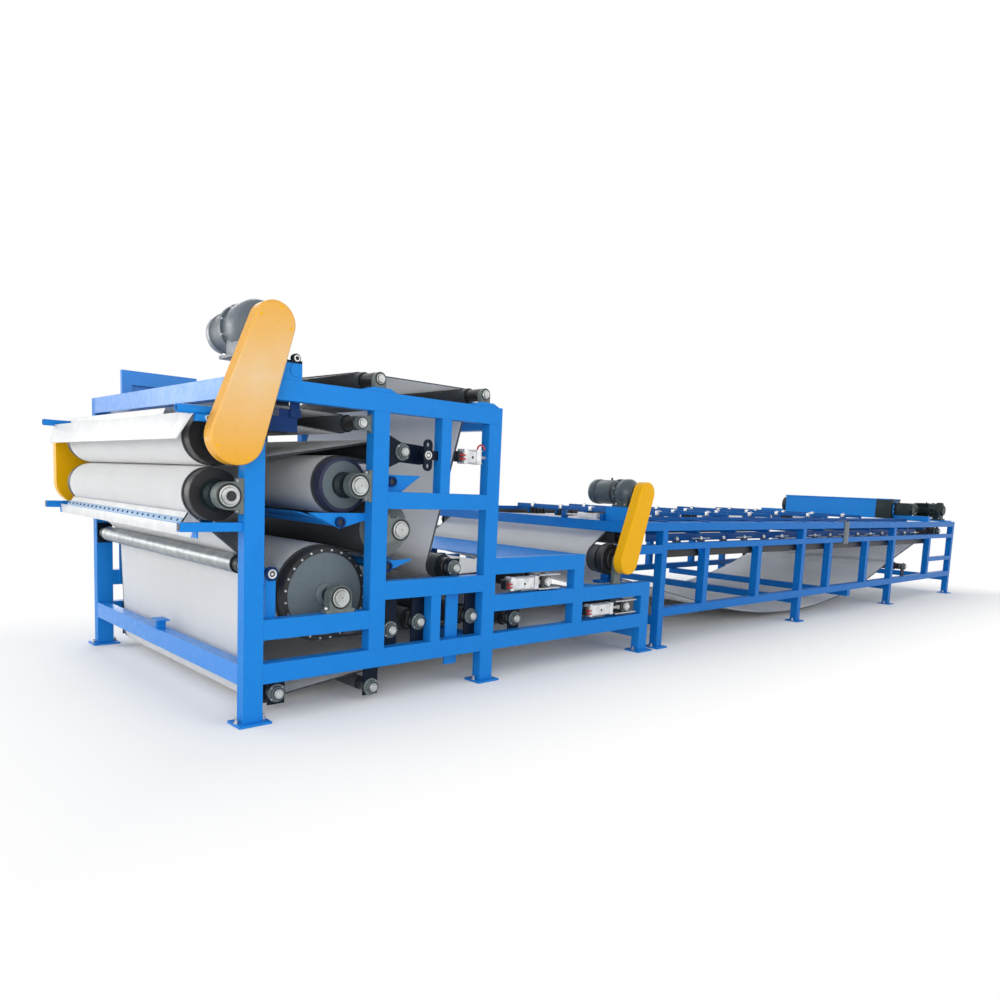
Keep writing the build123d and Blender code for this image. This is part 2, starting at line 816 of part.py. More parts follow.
# Scrapers at the nip
with BuildPart() as upper_scraper:
    for side in sides:
        middle = side * side_y
        with BuildSketch(Plane.YZ.offset(upper_arm_reach)) as end:
            with Locations((middle, upper_arm_z)):
                Circle(upper_arm_radius)
        extrude(end.sketch, amount=-half_along - upper_arm_reach)
    deflector_head = (deflector_top_x, upper_arm_z - upper_arm_radius / 2)
    profile_bar(
        sheet_points(deflector_head, deflector_foot, deflector_thickness), -side_y, side_y,
    )
finish(upper_scraper.part, "upper_scraper")

with BuildPart() as lower_scraper:
    for side in sides:
        middle = side * side_y
        bar(
            lower_arm_reach, -half_along, middle - lower_arm_half, middle + lower_arm_half,
            lower_arm_z - lower_arm_half, lower_arm_z + lower_arm_half,
        )
    scraper_foot = (scraper_bend[0], scraper_foot_z)
    profile_bar(sheet_points(scraper_tip, scraper_bend, scraper_thickness), -lane_half, lane_half)
    profile_bar(sheet_points(scraper_bend, scraper_foot, scraper_thickness), -side_y, side_y)
finish(lower_scraper.part, "lower_scraper")

# Belt washing and doctor blades
with BuildPart() as wash_box:
    bar(wash_x[0], wash_x[1], -strap_inner_y, strap_inner_y, wash_z[0], wash_z[1])
    for side in sides:
        edges = sorted((side * inner_y, side * strap_inner_y))
        bar(wash_hanger_x[0], wash_hanger_x[1], edges[0], edges[1], wash_z[0], top_beam_z)
        edges = sorted((side * (lane_half + wash_end_clear), side * strap_inner_y))
        bar(wash_end_x[0], wash_end_x[1], edges[0], edges[1], wash_end_z, wash_z[0])
finish(wash_box.part, "wash_box")

with BuildPart() as belt_doctors:
    for pivot, tip, plate in doctors:
        rod(pivot[0], pivot[1], doctor_rod_radius, -strap_inner_y, strap_inner_y)
        profile_bar(sheet_points(pivot, tip, doctor_blade), -lane_half, lane_half)
        for side in sides:
            edges = sorted((side * inner_y, side * strap_inner_y))
            profile_bar(plate, edges[0], edges[1])
finish(belt_doctors.part, "belt_doctors")

with BuildPart() as slot_brackets:
    slot_middle_x = (slot_plate_x[0] + slot_plate_x[1]) / 2
    slot_round = (slot_plate_x[1] - slot_plate_x[0]) / 2
    for side in sides:
        low = side * side_y - slot_plate_thickness / 2
        high = low + slot_plate_thickness
        bar(
            slot_plate_x[0], slot_plate_x[1], low, high,
            slot_plate_z[0] + slot_round, slot_plate_z[1] - slot_round,
        )
        arm_z = (slot_plate_z[0] + slot_plate_z[1]) / 2
        bar(
            slot_middle_x, thin_post_x - thin_post_along / 2, low, high,
            arm_z - slot_arm_half, arm_z + slot_arm_half,
        )
        for end_z in (slot_plate_z[0] + slot_round, slot_plate_z[1] - slot_round):
            rod(slot_middle_x, end_z, slot_round, low, high)
            rod(slot_middle_x, end_z, slot_hole_radius, low, high, mode=Mode.SUBTRACT)
        bearing_face = side * (strap_inner_y - idler_bearing_width)
        link_edges = sorted((bearing_face, bearing_face - side * strap_thickness))
        with BuildSketch(Plane.XZ.offset(-link_edges[0])) as link:
            with Locations((cross_x, cross_z), (slot_middle_x, arm_z)):
                Circle(link_radius)
            make_hull()
        extrude(link.sketch, amount=-strap_thickness)
        rod(cross_x, cross_z, idler_shaft_radius + 2.0, link_edges[0], link_edges[1],
            mode=Mode.SUBTRACT)
        boss_edges = sorted((bearing_face, side * side_y))
        rod(slot_middle_x, arm_z, link_boss_radius, boss_edges[0], boss_edges[1])
finish(slot_brackets.part, "slot_brackets")

# Belt tension and tracking cylinders
with BuildPart() as cylinders:
    for x_low, x_high, z, rod_end in (
        (*upper_tension_cylinder, upper_tension_z, upper_tension_x - slide_block),
        (*lower_tension_cylinder, lower_tension_z, lower_tension_x - slide_block),
        (*tracking_cylinder, post_x_rear - half_along),
    ):
        for side in sides:
            middle = side * side_y
            low_y, high_y = middle - cylinder_cap_half[0], middle + cylinder_cap_half[0]
            low_z, high_z = z - cylinder_cap_half[1], z + cylinder_cap_half[1]
            bar(x_low, x_low + cylinder_cap, low_y, high_y, low_z, high_z)
            bar(x_high - cylinder_cap, x_high, low_y, high_y, low_z, high_z)
            with BuildSketch(Plane.YZ.offset(x_low + cylinder_cap)) as barrel:
                with Locations((middle, z)):
                    Circle(cylinder_radius)
            extrude(barrel.sketch, amount=x_high - x_low - 2 * cylinder_cap)
            with BuildSketch(Plane.YZ.offset(x_high)) as piston:
                with Locations((middle, z)):
                    Circle(piston_radius)
            extrude(piston.sketch, amount=rod_end - x_high)
finish(cylinders.part, "pneumatic_cylinders")

with BuildPart() as splash_frame:
    splash_low = outer_y - tube_across / 2 - splash_across / 2
    splash_high = splash_low + splash_across
    band_low = splash_top - splash_band
    bar(splash_x[0], splash_x[1], splash_low, splash_high, band_low, splash_top)
    for x in (splash_x[0], splash_x[1] - splash_post):
        bar(x, x + splash_post, splash_low, splash_high, top_beam_z, band_low)
    bar(
        splash_x[0] + splash_post, splash_x[1] - splash_post,
        splash_high - sheet_thickness, splash_high, top_beam_z, band_low,
    )
finish(splash_frame.part, "splash_frame")

# Gravity table: what carries and guides the belt
grid_top = table_belt_z - seat_gap
slat_low = table_top_z - table_tube
bars_across = int((grid_x[1] - grid_x[0]) // grid_pitch) + 1
bar_places = [grid_x[0] + index * grid_pitch for index in range(bars_across)]
with BuildPart() as table_grid:
    for x in bar_places:
        bar(
            x - grid_bar / 2, x + grid_bar / 2, -table_inner_y, table_inner_y,
            slat_low - grid_bar, slat_low,
        )
    for side in sides:
        side_plate = side * (lane_half + grid_side_gap)
        edges = sorted((side_plate, side_plate + side * sheet_thickness))
        bar(
            bar_places[0], bar_places[-1], edges[0], edges[1],
            table_second_z, slat_low - grid_bar,
        )
finish(table_grid.part, "table_grid_bars")

with BuildPart() as table_slats:
    slat_pitch = 2 * (lane_half - skirt_gap) / (slat_count - 1)
    for index in range(slat_count):
        y = -lane_half + skirt_gap + index * slat_pitch
        bar(
            bar_places[0] - grid_bar, bar_places[-1] + grid_bar,
            y - slat_width / 2, y + slat_width / 2, slat_low, grid_top,
        )
finish(table_slats.part, "table_support_slats")

with BuildPart() as table_skirts:
    skirt_low = table_belt_z + belt_thickness + skirt_clear
    skirt_y = lane_half + skirt_gap
    for side in sides:
        edges = sorted((side * skirt_y, side * (skirt_y + skirt_thickness)))
        bar(skirt_x[0], skirt_x[1], edges[0], edges[1], skirt_low, table_top_z + skirt_rise)
        edges = sorted((side * (skirt_y + skirt_thickness), side * outer_y))
        for x in (*table_leg_x[:-1], *table_upright_x[:-1]):
            bar(
                x - skirt_bracket / 2, x + skirt_bracket / 2, edges[0], edges[1],
                table_top_z, table_top_z + skirt_thickness,
            )
        edges = sorted((side * table_inner_y, side * (table_inner_y - sheet_thickness)))
        bar(
            apron_x[0], apron_x[1], edges[0], edges[1],
            table_second_z - table_second_height - apron_drop, table_second_z,
        )
finish(table_skirts.part, "table_side_skirts")

with BuildPart() as ploughs:
    plough_low = table_top_z + skirt_rise
    blade_low = table_belt_z + belt_thickness + plough_clear
    plough_half = lane_half + skirt_gap + skirt_thickness
    for x in plough_x:
        bar(
            x - plough_bar / 2, x + plough_bar / 2, -plough_half, plough_half,
            plough_low, plough_low + plough_bar,
        )
        for lane in range(-2, 3):
            y = lane * plough_lane
            bar(
                x - plough_blade_long / 2, x + plough_blade_long / 2,
                y - slat_width / 2, y + slat_width / 2, blade_low, plough_low,
            )
finish(ploughs.part, "table_ploughs")

with BuildPart() as chute:
    profile_bar(sheet_points(chute_head, chute_foot, chute_thickness), -lane_half, lane_half)
    for side in sides:
        edges = sorted((side * lane_half, side * inner_y))
        bar(
            chute_cheek_x[0], chute_cheek_x[1], edges[0], edges[1],
            step_two_z - strap_width / 2, step_two_z,
        )
        edges = sorted((side * lane_half, side * (lane_half + strap_thickness)))
        bar(
            chute_cheek_x[0], chute_cheek_x[1], edges[0], edges[1],
            step_two_z, chute_head[1] - chute_thickness,
        )
finish(chute.part, "discharge_chute")

# Feed end
with BuildPart() as feed_box:
    bar(feed_x[0], feed_x[1], -feed_half, feed_half, feed_z[0], feed_z[1])
    for side in sides:
        edges = sorted((side * feed_half, side * outer_y))
        bar(
            feed_bracket_x[0], feed_bracket_x[1], edges[0], edges[1],
            table_top_z, table_top_z + feed_bracket_rise,
        )
finish(feed_box.part, "feed_box")

with BuildPart() as feed_drive:
    drive_foot = table_top_z + feed_bracket_rise
    bar(
        feed_gear_x[0], feed_gear_x[1], -feed_half - feed_gear_across, -feed_half,
        drive_foot, feed_gear_z,
    )
    with BuildSketch(Plane.YZ.offset(feed_gear_x[1])) as motor:
        with Locations((-feed_half - feed_gear_across / 2, feed_motor_z)):
            Circle(feed_motor_radius)
    extrude(motor.sketch, amount=feed_motor_long)
finish(feed_drive.part, "feed_gear_motor")

gear_motor(
    "tail_gear_motor", tail_motor_x, tail_motor_z, tail_stand_z, -outer_y + 80,
    120.0, 110.0, 180.0, 300.0,
)
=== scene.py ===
"""Belt filter press: finishes, bearings, drives, blades and fasteners around its fixed frame.

Metres, +Z up, +X from the press towards the feed end, +Y across the machine with the near
side at -Y. Every piece is built where it sits and rides on the body that carries it.
"""

import json
import logging
import math
from dataclasses import dataclass, field
from enum import Enum
from typing import Iterator, Sequence

import bmesh
import bpy
from mathutils import Matrix, Vector

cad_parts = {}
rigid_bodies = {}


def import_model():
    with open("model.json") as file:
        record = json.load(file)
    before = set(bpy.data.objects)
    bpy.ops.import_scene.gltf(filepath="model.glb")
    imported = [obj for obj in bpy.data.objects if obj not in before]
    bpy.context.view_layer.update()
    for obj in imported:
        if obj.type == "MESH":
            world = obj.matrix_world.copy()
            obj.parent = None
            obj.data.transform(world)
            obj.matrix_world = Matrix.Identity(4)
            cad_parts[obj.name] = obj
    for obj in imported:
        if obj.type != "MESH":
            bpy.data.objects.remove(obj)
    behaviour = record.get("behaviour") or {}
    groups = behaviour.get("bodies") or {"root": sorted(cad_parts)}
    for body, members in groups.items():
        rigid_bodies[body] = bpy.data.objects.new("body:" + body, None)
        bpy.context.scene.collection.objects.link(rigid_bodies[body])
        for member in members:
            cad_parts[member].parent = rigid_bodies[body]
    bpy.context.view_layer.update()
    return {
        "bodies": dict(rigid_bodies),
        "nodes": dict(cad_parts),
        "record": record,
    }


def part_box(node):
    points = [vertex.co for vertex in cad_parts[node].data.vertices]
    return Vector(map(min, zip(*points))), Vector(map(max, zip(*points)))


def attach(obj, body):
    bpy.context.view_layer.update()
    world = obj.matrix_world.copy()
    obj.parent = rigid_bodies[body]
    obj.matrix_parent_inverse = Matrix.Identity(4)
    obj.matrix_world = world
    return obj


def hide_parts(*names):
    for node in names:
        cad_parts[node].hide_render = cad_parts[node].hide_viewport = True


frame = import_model()

logging.basicConfig(level=logging.INFO, format="%(message)s")
log = logging.getLogger("belt_filter_press")

Colour = tuple[float, float, float]
Point = tuple[float, float]
Place = tuple[float, float, float]

SIDES = (-1.0, 1.0)
ALONG_X = (1.0, 0.0, 0.0)
ALONG_Y = (0.0, 1.0, 0.0)
UP = (0.0, 0.0, 1.0)
TO_FRONT = (-1.0, 0.0, 0.0)
TO_NEAR = (0.0, -1.0, 0.0)
FRAME_BODY = "frame"
SHARP_ANGLE = math.radians(32)

# Faces of the frame and the rollers across the machine
OUTER_Y = 1.37
INNER_Y = 1.29
SIDE_Y = 1.33
ROLLER_FACE_Y = 1.17
BELT_EDGE_Y = 1.10


class Slot(Enum):
    """The record's material slots."""

    FRAME = "frame_blue"
    GUARD = "guard_yellow"
    MOTOR = "motor_grey"
    IRON = "bearing_iron"
    RUBBER = "roller_rubber"
    DRUM = "drum_steel"
    CLOTH = "belt_cloth"
    CYLINDER = "cylinder_aluminium"


class NodeSheet:
    """A material's node tree, with the few nodes that every finish here is made from."""

    def __init__(self, name: str) -> None:
        """Start a material with a Principled shader and the piece's own coordinates.

        Args:
            name: The material's name.
        """
        self.material = bpy.data.materials.new(name)
        self.material.use_nodes = True
        self.tree = self.material.node_tree
        self.shader = next(node for node in self.tree.nodes if node.type == "BSDF_PRINCIPLED")
        self.place = self.tree.nodes.new("ShaderNodeTexCoord").outputs["Object"]

    def link(self, source: bpy.types.NodeSocket, target: bpy.types.NodeSocket) -> None:
        """Join two sockets."""
        self.tree.links.new(source, target)

    def paint(self, colour: bpy.types.NodeSocket) -> None:
        """Give the shader its colour."""
        self.link(colour, self.shader.inputs["Base Color"])

    def noise(self, scale: float, detail: float = 3.0,
              stretch: Sequence[float] = (1, 1, 1)) -> bpy.types.NodeSocket:
        """A noise pattern fixed to the piece.

        Args:
            scale: Repeats for each metre.
            detail: Octaves of finer noise.
            stretch: How much denser the pattern is along each axis.

        Returns:
            The pattern's value socket.
        """
        mapping = self.tree.nodes.new("ShaderNodeMapping")
        mapping.inputs["Scale"].default_value = stretch
        texture = self.tree.nodes.new("ShaderNodeTexNoise")
        texture.inputs["Scale"].default_value = scale
        texture.inputs["Detail"].default_value = detail
        self.link(self.place, mapping.inputs["Vector"])
        self.link(mapping.outputs["Vector"], texture.inputs["Vector"])
        return texture.outputs["Fac"]

    def span(self, value: bpy.types.NodeSocket, low: float, high: float, out_low: float = 0.0,
             out_high: float = 1.0) -> bpy.types.NodeSocket:
        """Stretch a value from one range to another, held at the ends.

        Args:
            value: The socket to stretch.
            low: The input value that gives out_low.
            high: The input value that gives out_high.
            out_low: The output at low.
            out_high: The output at high.

        Returns:
            The stretched value's socket.
        """
        node = self.tree.nodes.new("ShaderNodeMapRange")
        for name, limit in (
            ("From Min", low), ("From Max", high), ("To Min", out_low), ("To Max", out_high),
        ):
            node.inputs[name].default_value = limit
        self.link(value, node.inputs["Value"])
        return node.outputs["Result"]

    def mix(self, factor: bpy.types.NodeSocket, first: Colour | bpy.types.NodeSocket,
            second: Colour) -> bpy.types.NodeSocket:
        """Blend a colour, or a colour socket, with a second colour.

        Args:
            factor: 0 gives the first colour and 1 the second.
            first: A colour or a colour socket.
            second: A colour.

        Returns:
            The blended colour's socket.
        """
        node = self.tree.nodes.new("ShaderNodeMix")
        node.data_type = "RGBA"
        self.link(factor, node.inputs["Factor"])
        if isinstance(first, tuple):
            node.inputs["A"].default_value = (*first, 1.0)
        else:
            self.link(first, node.inputs["A"])
        node.inputs["B"].default_value = (*second, 1.0)
        return node.outputs["Result"]

    def math(self, operation: str, first: bpy.types.NodeSocket,
             second: bpy.types.NodeSocket | float | None = None) -> bpy.types.NodeSocket:
        """One step of arithmetic.

        Args:
            operation: The Math node's operation.
            first: The first value.
            second: The second value, if the operation has one.

        Returns:
            The result's socket.
        """
        node = self.tree.nodes.new("ShaderNodeMath")
        node.operation = operation
        self.link(first, node.inputs[0])
        if isinstance(second, float):
            node.inputs[1].default_value = second
        elif second is not None:
            self.link(second, node.inputs[1])
        return node.outputs["Value"]

    def axis(self, name: str) -> bpy.types.NodeSocket:
        """One of the piece's own coordinates.

        Args:
            name: X, Y or Z.

        Returns:
            The coordinate's socket, in metres.
        """
        node = self.tree.nodes.new("ShaderNodeSeparateXYZ")
        self.link(self.place, node.inputs["Vector"])
        return node.outputs[name]

    def bump(self, height: bpy.types.NodeSocket, distance: float, strength: float,
             edge_radius: float = 0.0) -> None:
        """Raise the surface by a pattern, on edges softened by a small radius.

        Args:
            height: The pattern.
            distance: The pattern's height in metres.
            strength: How much of it shows.
            edge_radius: The radius that the edges seem to have, in metres.
        """
        node = self.tree.nodes.new("ShaderNodeBump")
        node.inputs["Distance"].default_value = distance
        node.inputs["Strength"].default_value = strength
        self.link(height, node.inputs["Height"])
        if edge_radius:
            edges = self.tree.nodes.new("ShaderNodeBevel")
            edges.samples = 4
            edges.inputs["Radius"].default_value = edge_radius
            self.link(edges.outputs["Normal"], node.inputs["Normal"])
        self.link(node.outputs["Normal"], self.shader.inputs["Normal"])

    def set(self, **values: float) -> None:
        """Set the shader's own sockets, with underscores for the spaces in their names."""
        for name, value in values.items():
            self.shader.inputs[name.replace("_", " ")].default_value = value


@dataclass(frozen=True)
class Finish:
    """What a surface is made of or painted with."""

    name: str
    colour: Colour
    slot: Slot
    roughness: float = 0.4

    def dress(self, sheet: NodeSheet) -> None:
        """Wire the finish into a material.

        Args:
            sheet: The material's nodes.
        """
        raise NotImplementedError

    def material(self) -> bpy.types.Material:
        """The finish's material, made when it is first asked for.

        Returns:
            The material.
        """
        name = f"{self.name}_finish"
        if name not in bpy.data.materials:
            self.dress(NodeSheet(name))
        return bpy.data.materials[name]

    def tone(self, share: float, lift: float = 0.0) -> Colour:
        """A darker or lighter tone of the finish's colour."""
        return tuple(min(1.0, share * part + lift) for part in self.colour)

    def uneven(self, sheet: NodeSheet, pattern: bpy.types.NodeSocket, low: float, smoother: float) -> None:
        """Make the surface smoother and duller in patches.

        Args:
            sheet: The material's nodes.
            pattern: The patches.
            low: The pattern's value below which the surface is smoothest.
            smoother: How much smoother than usual it gets.
        """
        rough = sheet.span(pattern, low, 0.7, self.roughness - smoother, self.roughness + 0.10)
        sheet.link(rough, sheet.shader.inputs["Roughness"])


@dataclass(frozen=True)
class Paint(Finish):
    """Sprayed enamel on steel: a little orange peel, dull patches and softened edges."""

    shade: Colour = (0.0, 0.0, 0.0)
    coat: float = 0.03
    gloss: float = 0.12
    edge_radius: float = 0.005
    peel: float = 0.00008
    worn_share: float = 0.40

    def dress(self, sheet: NodeSheet) -> None:
        """Wire the enamel.

        Args:
            sheet: The material's nodes.
        """
        broad, fine = sheet.noise(1.7, 4.0), sheet.noise(24.0)
        worn = sheet.span(sheet.math("MULTIPLY", broad, fine), 0.14, 0.40, 0.0, self.worn_share)
        sheet.paint(sheet.mix(worn, self.colour, self.shade))
        self.uneven(sheet, fine, 0.35, 0.05)
        sheet.set(Coat_Weight=self.coat, Coat_Roughness=0.12, Specular_IOR_Level=self.gloss)
        sheet.bump(sheet.noise(260.0, 2.0), self.peel, 0.4, self.edge_radius)


@dataclass(frozen=True)
class GlarePatchPaint(Paint):
    """Enamel with a pale painted highlight over the middle of a tall cover's face, standing for the glare
    on it.
    """

    # Colour of the painted highlight.
    dust_and_glare: Colour = (0.720, 0.540, 0.330)
    most: float = 0.85
    middle_z: float = 1.97
    half_height: float = 0.46
    face_out: float = 1.472
    fade: float = 0.010

    def dress(self, sheet: NodeSheet) -> None:
        """Wire the enamel, then lay the painted highlight over its colour.

        Args:
            sheet: The material's nodes.
        """
        super().dress(sheet)
        enamel = sheet.shader.inputs["Base Color"].links[0].from_socket
        # Painted highlight: a pale patch, strongest at middle_z and gone at half_height from it, broken up
        # by noise, on the outer face only.
        off = sheet.math("ABSOLUTE", sheet.math("SUBTRACT", sheet.axis("Z"), self.middle_z))
        painted_glare = sheet.span(off, 0.0, self.half_height, self.most, 0.0)
        cloud = sheet.span(sheet.noise(5.0), 0.25, 0.75, 0.55, 1.0)
        out = sheet.math("MULTIPLY", sheet.axis("Y"), -1.0)
        outer = sheet.span(out, self.face_out - self.fade, self.face_out)
        share = sheet.math("MULTIPLY", sheet.math("MULTIPLY", painted_glare, cloud), outer)
        sheet.paint(sheet.mix(share, enamel, self.dust_and_glare))


@dataclass(frozen=True)
class Casting(Finish):
    """Painted cast iron with a sandy skin."""

    shade: Colour = (0.05, 0.06, 0.06)
    sand: float = 0.0006

    def dress(self, sheet: NodeSheet) -> None:
        """Wire the casting.

        Args:
            sheet: The material's nodes.
        """
        patches = sheet.span(sheet.noise(22.0, 4.0), 0.35, 0.7)
        sheet.paint(sheet.mix(patches, self.colour, self.shade))
        sheet.set(Roughness=self.roughness, Coat_Weight=0.15, Coat_Roughness=0.3)
        sheet.bump(sheet.noise(420.0), self.sand, 0.7, 0.002)


@dataclass(frozen=True)
class Machined(Finish):
    """Bare turned or plated steel with fine tool marks."""

    marks: float = 900.0
    metallic: float = 1.0
    mark_depth: float = 0.00012

    def dress(self, sheet: NodeSheet) -> None:
        """Wire the bare metal.

        Args:
            sheet: The material's nodes.
        """
        grain = sheet.noise(self.marks, 2.0, (1.0, 0.05, 1.0))
        tint = sheet.span(sheet.noise(14.0), 0.35, 0.75)
        sheet.paint(sheet.mix(tint, self.colour, self.tone(0.62)))
        self.uneven(sheet, grain, 0.3, 0.06)
        sheet.set(Metallic=self.metallic)
        sheet.bump(grain, self.mark_depth, 0.5)


@dataclass(frozen=True)
class Rubber(Finish):
    """Matt rubber or dull plastic with a little dust on it."""

    grain: float = 600.0
    grain_depth: float = 0.0002

    def dress(self, sheet: NodeSheet) -> None:
        """Wire the rubber.

        Args:
            sheet: The material's nodes.
        """
        dust_and_glare = sheet.span(sheet.noise(9.0, 5.0), 0.4, 0.8, 0.0, 0.35)
        sheet.paint(sheet.mix(dust_and_glare, self.colour, self.tone(1.6, 0.02)))
        sheet.set(Roughness=self.roughness, Sheen_Weight=0.05)
        sheet.bump(sheet.noise(self.grain, 2.0), self.grain_depth, 0.5)


@dataclass(frozen=True)
class FilterCloth(Finish):
    """Woven filter belt: a fine weave, faint streaks along it and dark sealed edges."""

    edge_colour: Colour = (0.03, 0.035, 0.04)
    sealed: float = 0.014
    yarn: float = 0.0035
    yarn_depth: float = 0.0004
    shows_through: float = 0.75
    light_reach: float = 0.060

    def dress(self, sheet: NodeSheet) -> None:
        """Wire the cloth.

        Args:
            sheet: The material's nodes.
        """
        across = sheet.axis("Y")
        along = sheet.math("ADD", sheet.axis("X"), sheet.axis("Z"))
        turns = 2.0 * math.pi / self.yarn
        warp, weft = (sheet.math("SINE", sheet.math("MULTIPLY", way, turns)) for way in (across, along))
        weave = sheet.math("MULTIPLY", warp, weft)
        streaks = sheet.noise(3.0, 3.0, (0.12, 2.2, 0.12))
        stained = sheet.span(streaks, 0.35, 0.80, 0.0, 0.40)
        cloth = sheet.mix(stained, self.colour, self.tone(0.90))
        sealed_y = BELT_EDGE_Y - self.sealed
        edge = sheet.span(sheet.math("ABSOLUTE", across), sealed_y - 0.001, sealed_y)
        sheet.paint(sheet.mix(edge, cloth, self.edge_colour))
        sheet.set(Roughness=self.roughness, Sheen_Weight=0.12, Sheen_Roughness=0.5,
                  Subsurface_Weight=self.shows_through, Subsurface_Scale=self.light_reach)
        sheet.shader.inputs["Subsurface Radius"].default_value = (1.0, 1.0, 1.0)
        sheet.bump(weave, self.yarn_depth, 0.6)


# Paints
FRAME_BLUE = Paint("frame_blue", (0.010, 0.215, 0.650), Slot.FRAME, 0.36, (0.008, 0.180, 0.560))
BEAM_BLUE = Paint("beam_blue", (0.010, 0.225, 0.700), Slot.FRAME, 0.34, (0.010, 0.215, 0.680),
                  coat=0.22, gloss=0.35, peel=0.0)
# Painted shade: a darker copy of the frame blue on the table's frame, for the light falling off along the
# machine.
SHADED_RAIL_BLUE = Paint("rail_blue_painted_shade", (0.004, 0.170, 0.560), Slot.FRAME, 0.36, (0.003, 0.140, 0.470))
# Painted shade: a still darker copy of the frame blue on the table's skirts, grid bars, ploughs and
# brackets.
SHADED_TABLE_BLUE = Paint("table_blue_painted_shade", (0.003, 0.100, 0.360), Slot.FRAME, 0.34, (0.002, 0.078, 0.290))
DEEP_BLUE = Paint("deep_blue", (0.002, 0.030, 0.130), Slot.FRAME, 0.36, (0.002, 0.022, 0.100))
NAVY = Paint("navy_paint", (0.004, 0.009, 0.022), Slot.FRAME, 0.40, (0.003, 0.007, 0.017))
PALE_BLUE = Paint("pale_blue", (0.330, 0.470, 0.640), Slot.FRAME, 0.36, (0.270, 0.400, 0.570))
GUARD_AMBER = Paint("guard_amber", (0.850, 0.430, 0.002), Slot.GUARD, 0.30, (0.845, 0.427, 0.002),
                    coat=0.02, gloss=0.15, edge_radius=0.0, peel=0.00003)
# The press's chain cover, with a painted highlight over the middle of its face.
GUARD_FACE = GlarePatchPaint("guard_face", (0.740, 0.360, 0.030), Slot.GUARD, 0.30, (0.736, 0.357, 0.029),
                        coat=0.05, gloss=0.20, edge_radius=0.0, peel=0.00003)
MOTOR_GREY = Paint("motor_grey", (0.110, 0.132, 0.155), Slot.MOTOR, 0.34, (0.085, 0.105, 0.125),
                   coat=0.1, gloss=0.3, edge_radius=0.0)
COWL_GREY = Paint("cowl_grey", (0.260, 0.280, 0.305), Slot.MOTOR, 0.26, (0.210, 0.230, 0.250),
                  coat=0.2, gloss=0.4, edge_radius=0.0)
SLATE_GREY = Paint("slate_grey", (0.062, 0.088, 0.102), Slot.MOTOR, 0.34, (0.048, 0.068, 0.080),
                   coat=0.1, gloss=0.3, edge_radius=0.0)
GEAR_GREEN = Paint("gear_green", (0.008, 0.019, 0.022), Slot.MOTOR, 0.40, (0.006, 0.013, 0.016),
                   coat=0.05, gloss=0.25, edge_radius=0.0)
PLATE_GREY = Paint("roller_end_grey", (0.145, 0.178, 0.195), Slot.DRUM, 0.42, (0.100, 0.128, 0.142))
REAR_GREY = Paint("rear_end_grey", (0.200, 0.220, 0.222), Slot.DRUM, 0.45, (0.160, 0.180, 0.182))

# Castings, metals, rubber and cloth
BEARING_IRON = Casting("bearing_iron", (0.130, 0.160, 0.155), Slot.IRON, 0.50, (0.085, 0.108, 0.106))
RING_STEEL = Machined("ring_steel", (0.780, 0.800, 0.780), Slot.IRON, 0.34, metallic=0.6)
SHAFT_STEEL = Machined("shaft_steel", (0.560, 0.580, 0.570), Slot.DRUM, 0.36, metallic=0.6)
ZINC = Machined("zinc_plate", (0.620, 0.640, 0.660), Slot.IRON, 0.32)
ALUMINIUM = Machined("cylinder_aluminium", (0.840, 0.845, 0.850), Slot.CYLINDER, 0.38, metallic=0.15)
PIPE_STEEL = Machined("drum_steel", (0.420, 0.440, 0.450), Slot.DRUM, 0.38, 220.0)
ROLLER_RUBBER = Rubber("roller_rubber", (0.035, 0.040, 0.048), Slot.RUBBER, 0.62)
RIM_NAVY = Rubber("rim_navy", (0.018, 0.022, 0.060), Slot.RUBBER, 0.50)
SEAL_BLACK = Rubber("seal_black", (0.008, 0.008, 0.010), Slot.RUBBER, 0.45)
TUBE_RED = Rubber("tube_red", (0.420, 0.020, 0.018), Slot.RUBBER, 0.30)
BLADE_WHITE = Rubber("blade_white", (0.640, 0.645, 0.640), Slot.CLOTH, 0.40, 200.0)
BELT_CLOTH = FilterCloth("belt_cloth", (0.860, 0.855, 0.840), Slot.CLOTH, 0.82)

NODE_FINISHES = {
    Slot.FRAME.value: FRAME_BLUE,
    Slot.GUARD.value: GUARD_AMBER,
    Slot.MOTOR.value: MOTOR_GREY,
    Slot.IRON.value: BEARING_IRON,
    Slot.RUBBER.value: ROLLER_RUBBER,
    Slot.DRUM.value: PIPE_STEEL,
    Slot.CLOTH.value: BELT_CLOTH,
    Slot.CYLINDER.value: ALUMINIUM,
}

# Nodes whose finish isn't their slot's usual one
OWN_FINISHES = {
    DEEP_BLUE: ("wash_box",),
    SHADED_TABLE_BLUE: ("table_side_skirts", "table_grid_bars", "table_ploughs"),
    NAVY: ("bearing_straps", "slot_brackets"),
    GUARD_FACE: ("press_chain_guard",),
    BEAM_BLUE: ("press_cross_beams", "splash_frame"),
    SHADED_RAIL_BLUE: ("table_posts", "table_rails", "table_cross_beams", "table_end_beam", "table_support_slats"),
    SEAL_BLACK: ("upper_nip_roller", "lower_nip_roller", "press_drum"),
    RIM_NAVY: ("middle_roller",),
}


def stood(start: Sequence[float], along: Sequence[float]) -> Matrix:
    """The transform that moves the origin to a place and turns +Z to a direction."""
    return Matrix.Translation(start) @ Vector(along).to_track_quat("Z", "Y").to_matrix().to_4x4()


def soften(part: bmesh.types.BMesh, radius: float, steps: int) -> None:
    """Round all the edges of a mesh."""
    bmesh.ops.bevel(part, geom=part.edges[:], offset=radius, segments=steps, profile=0.5,
                    affect="EDGES", material=-1)


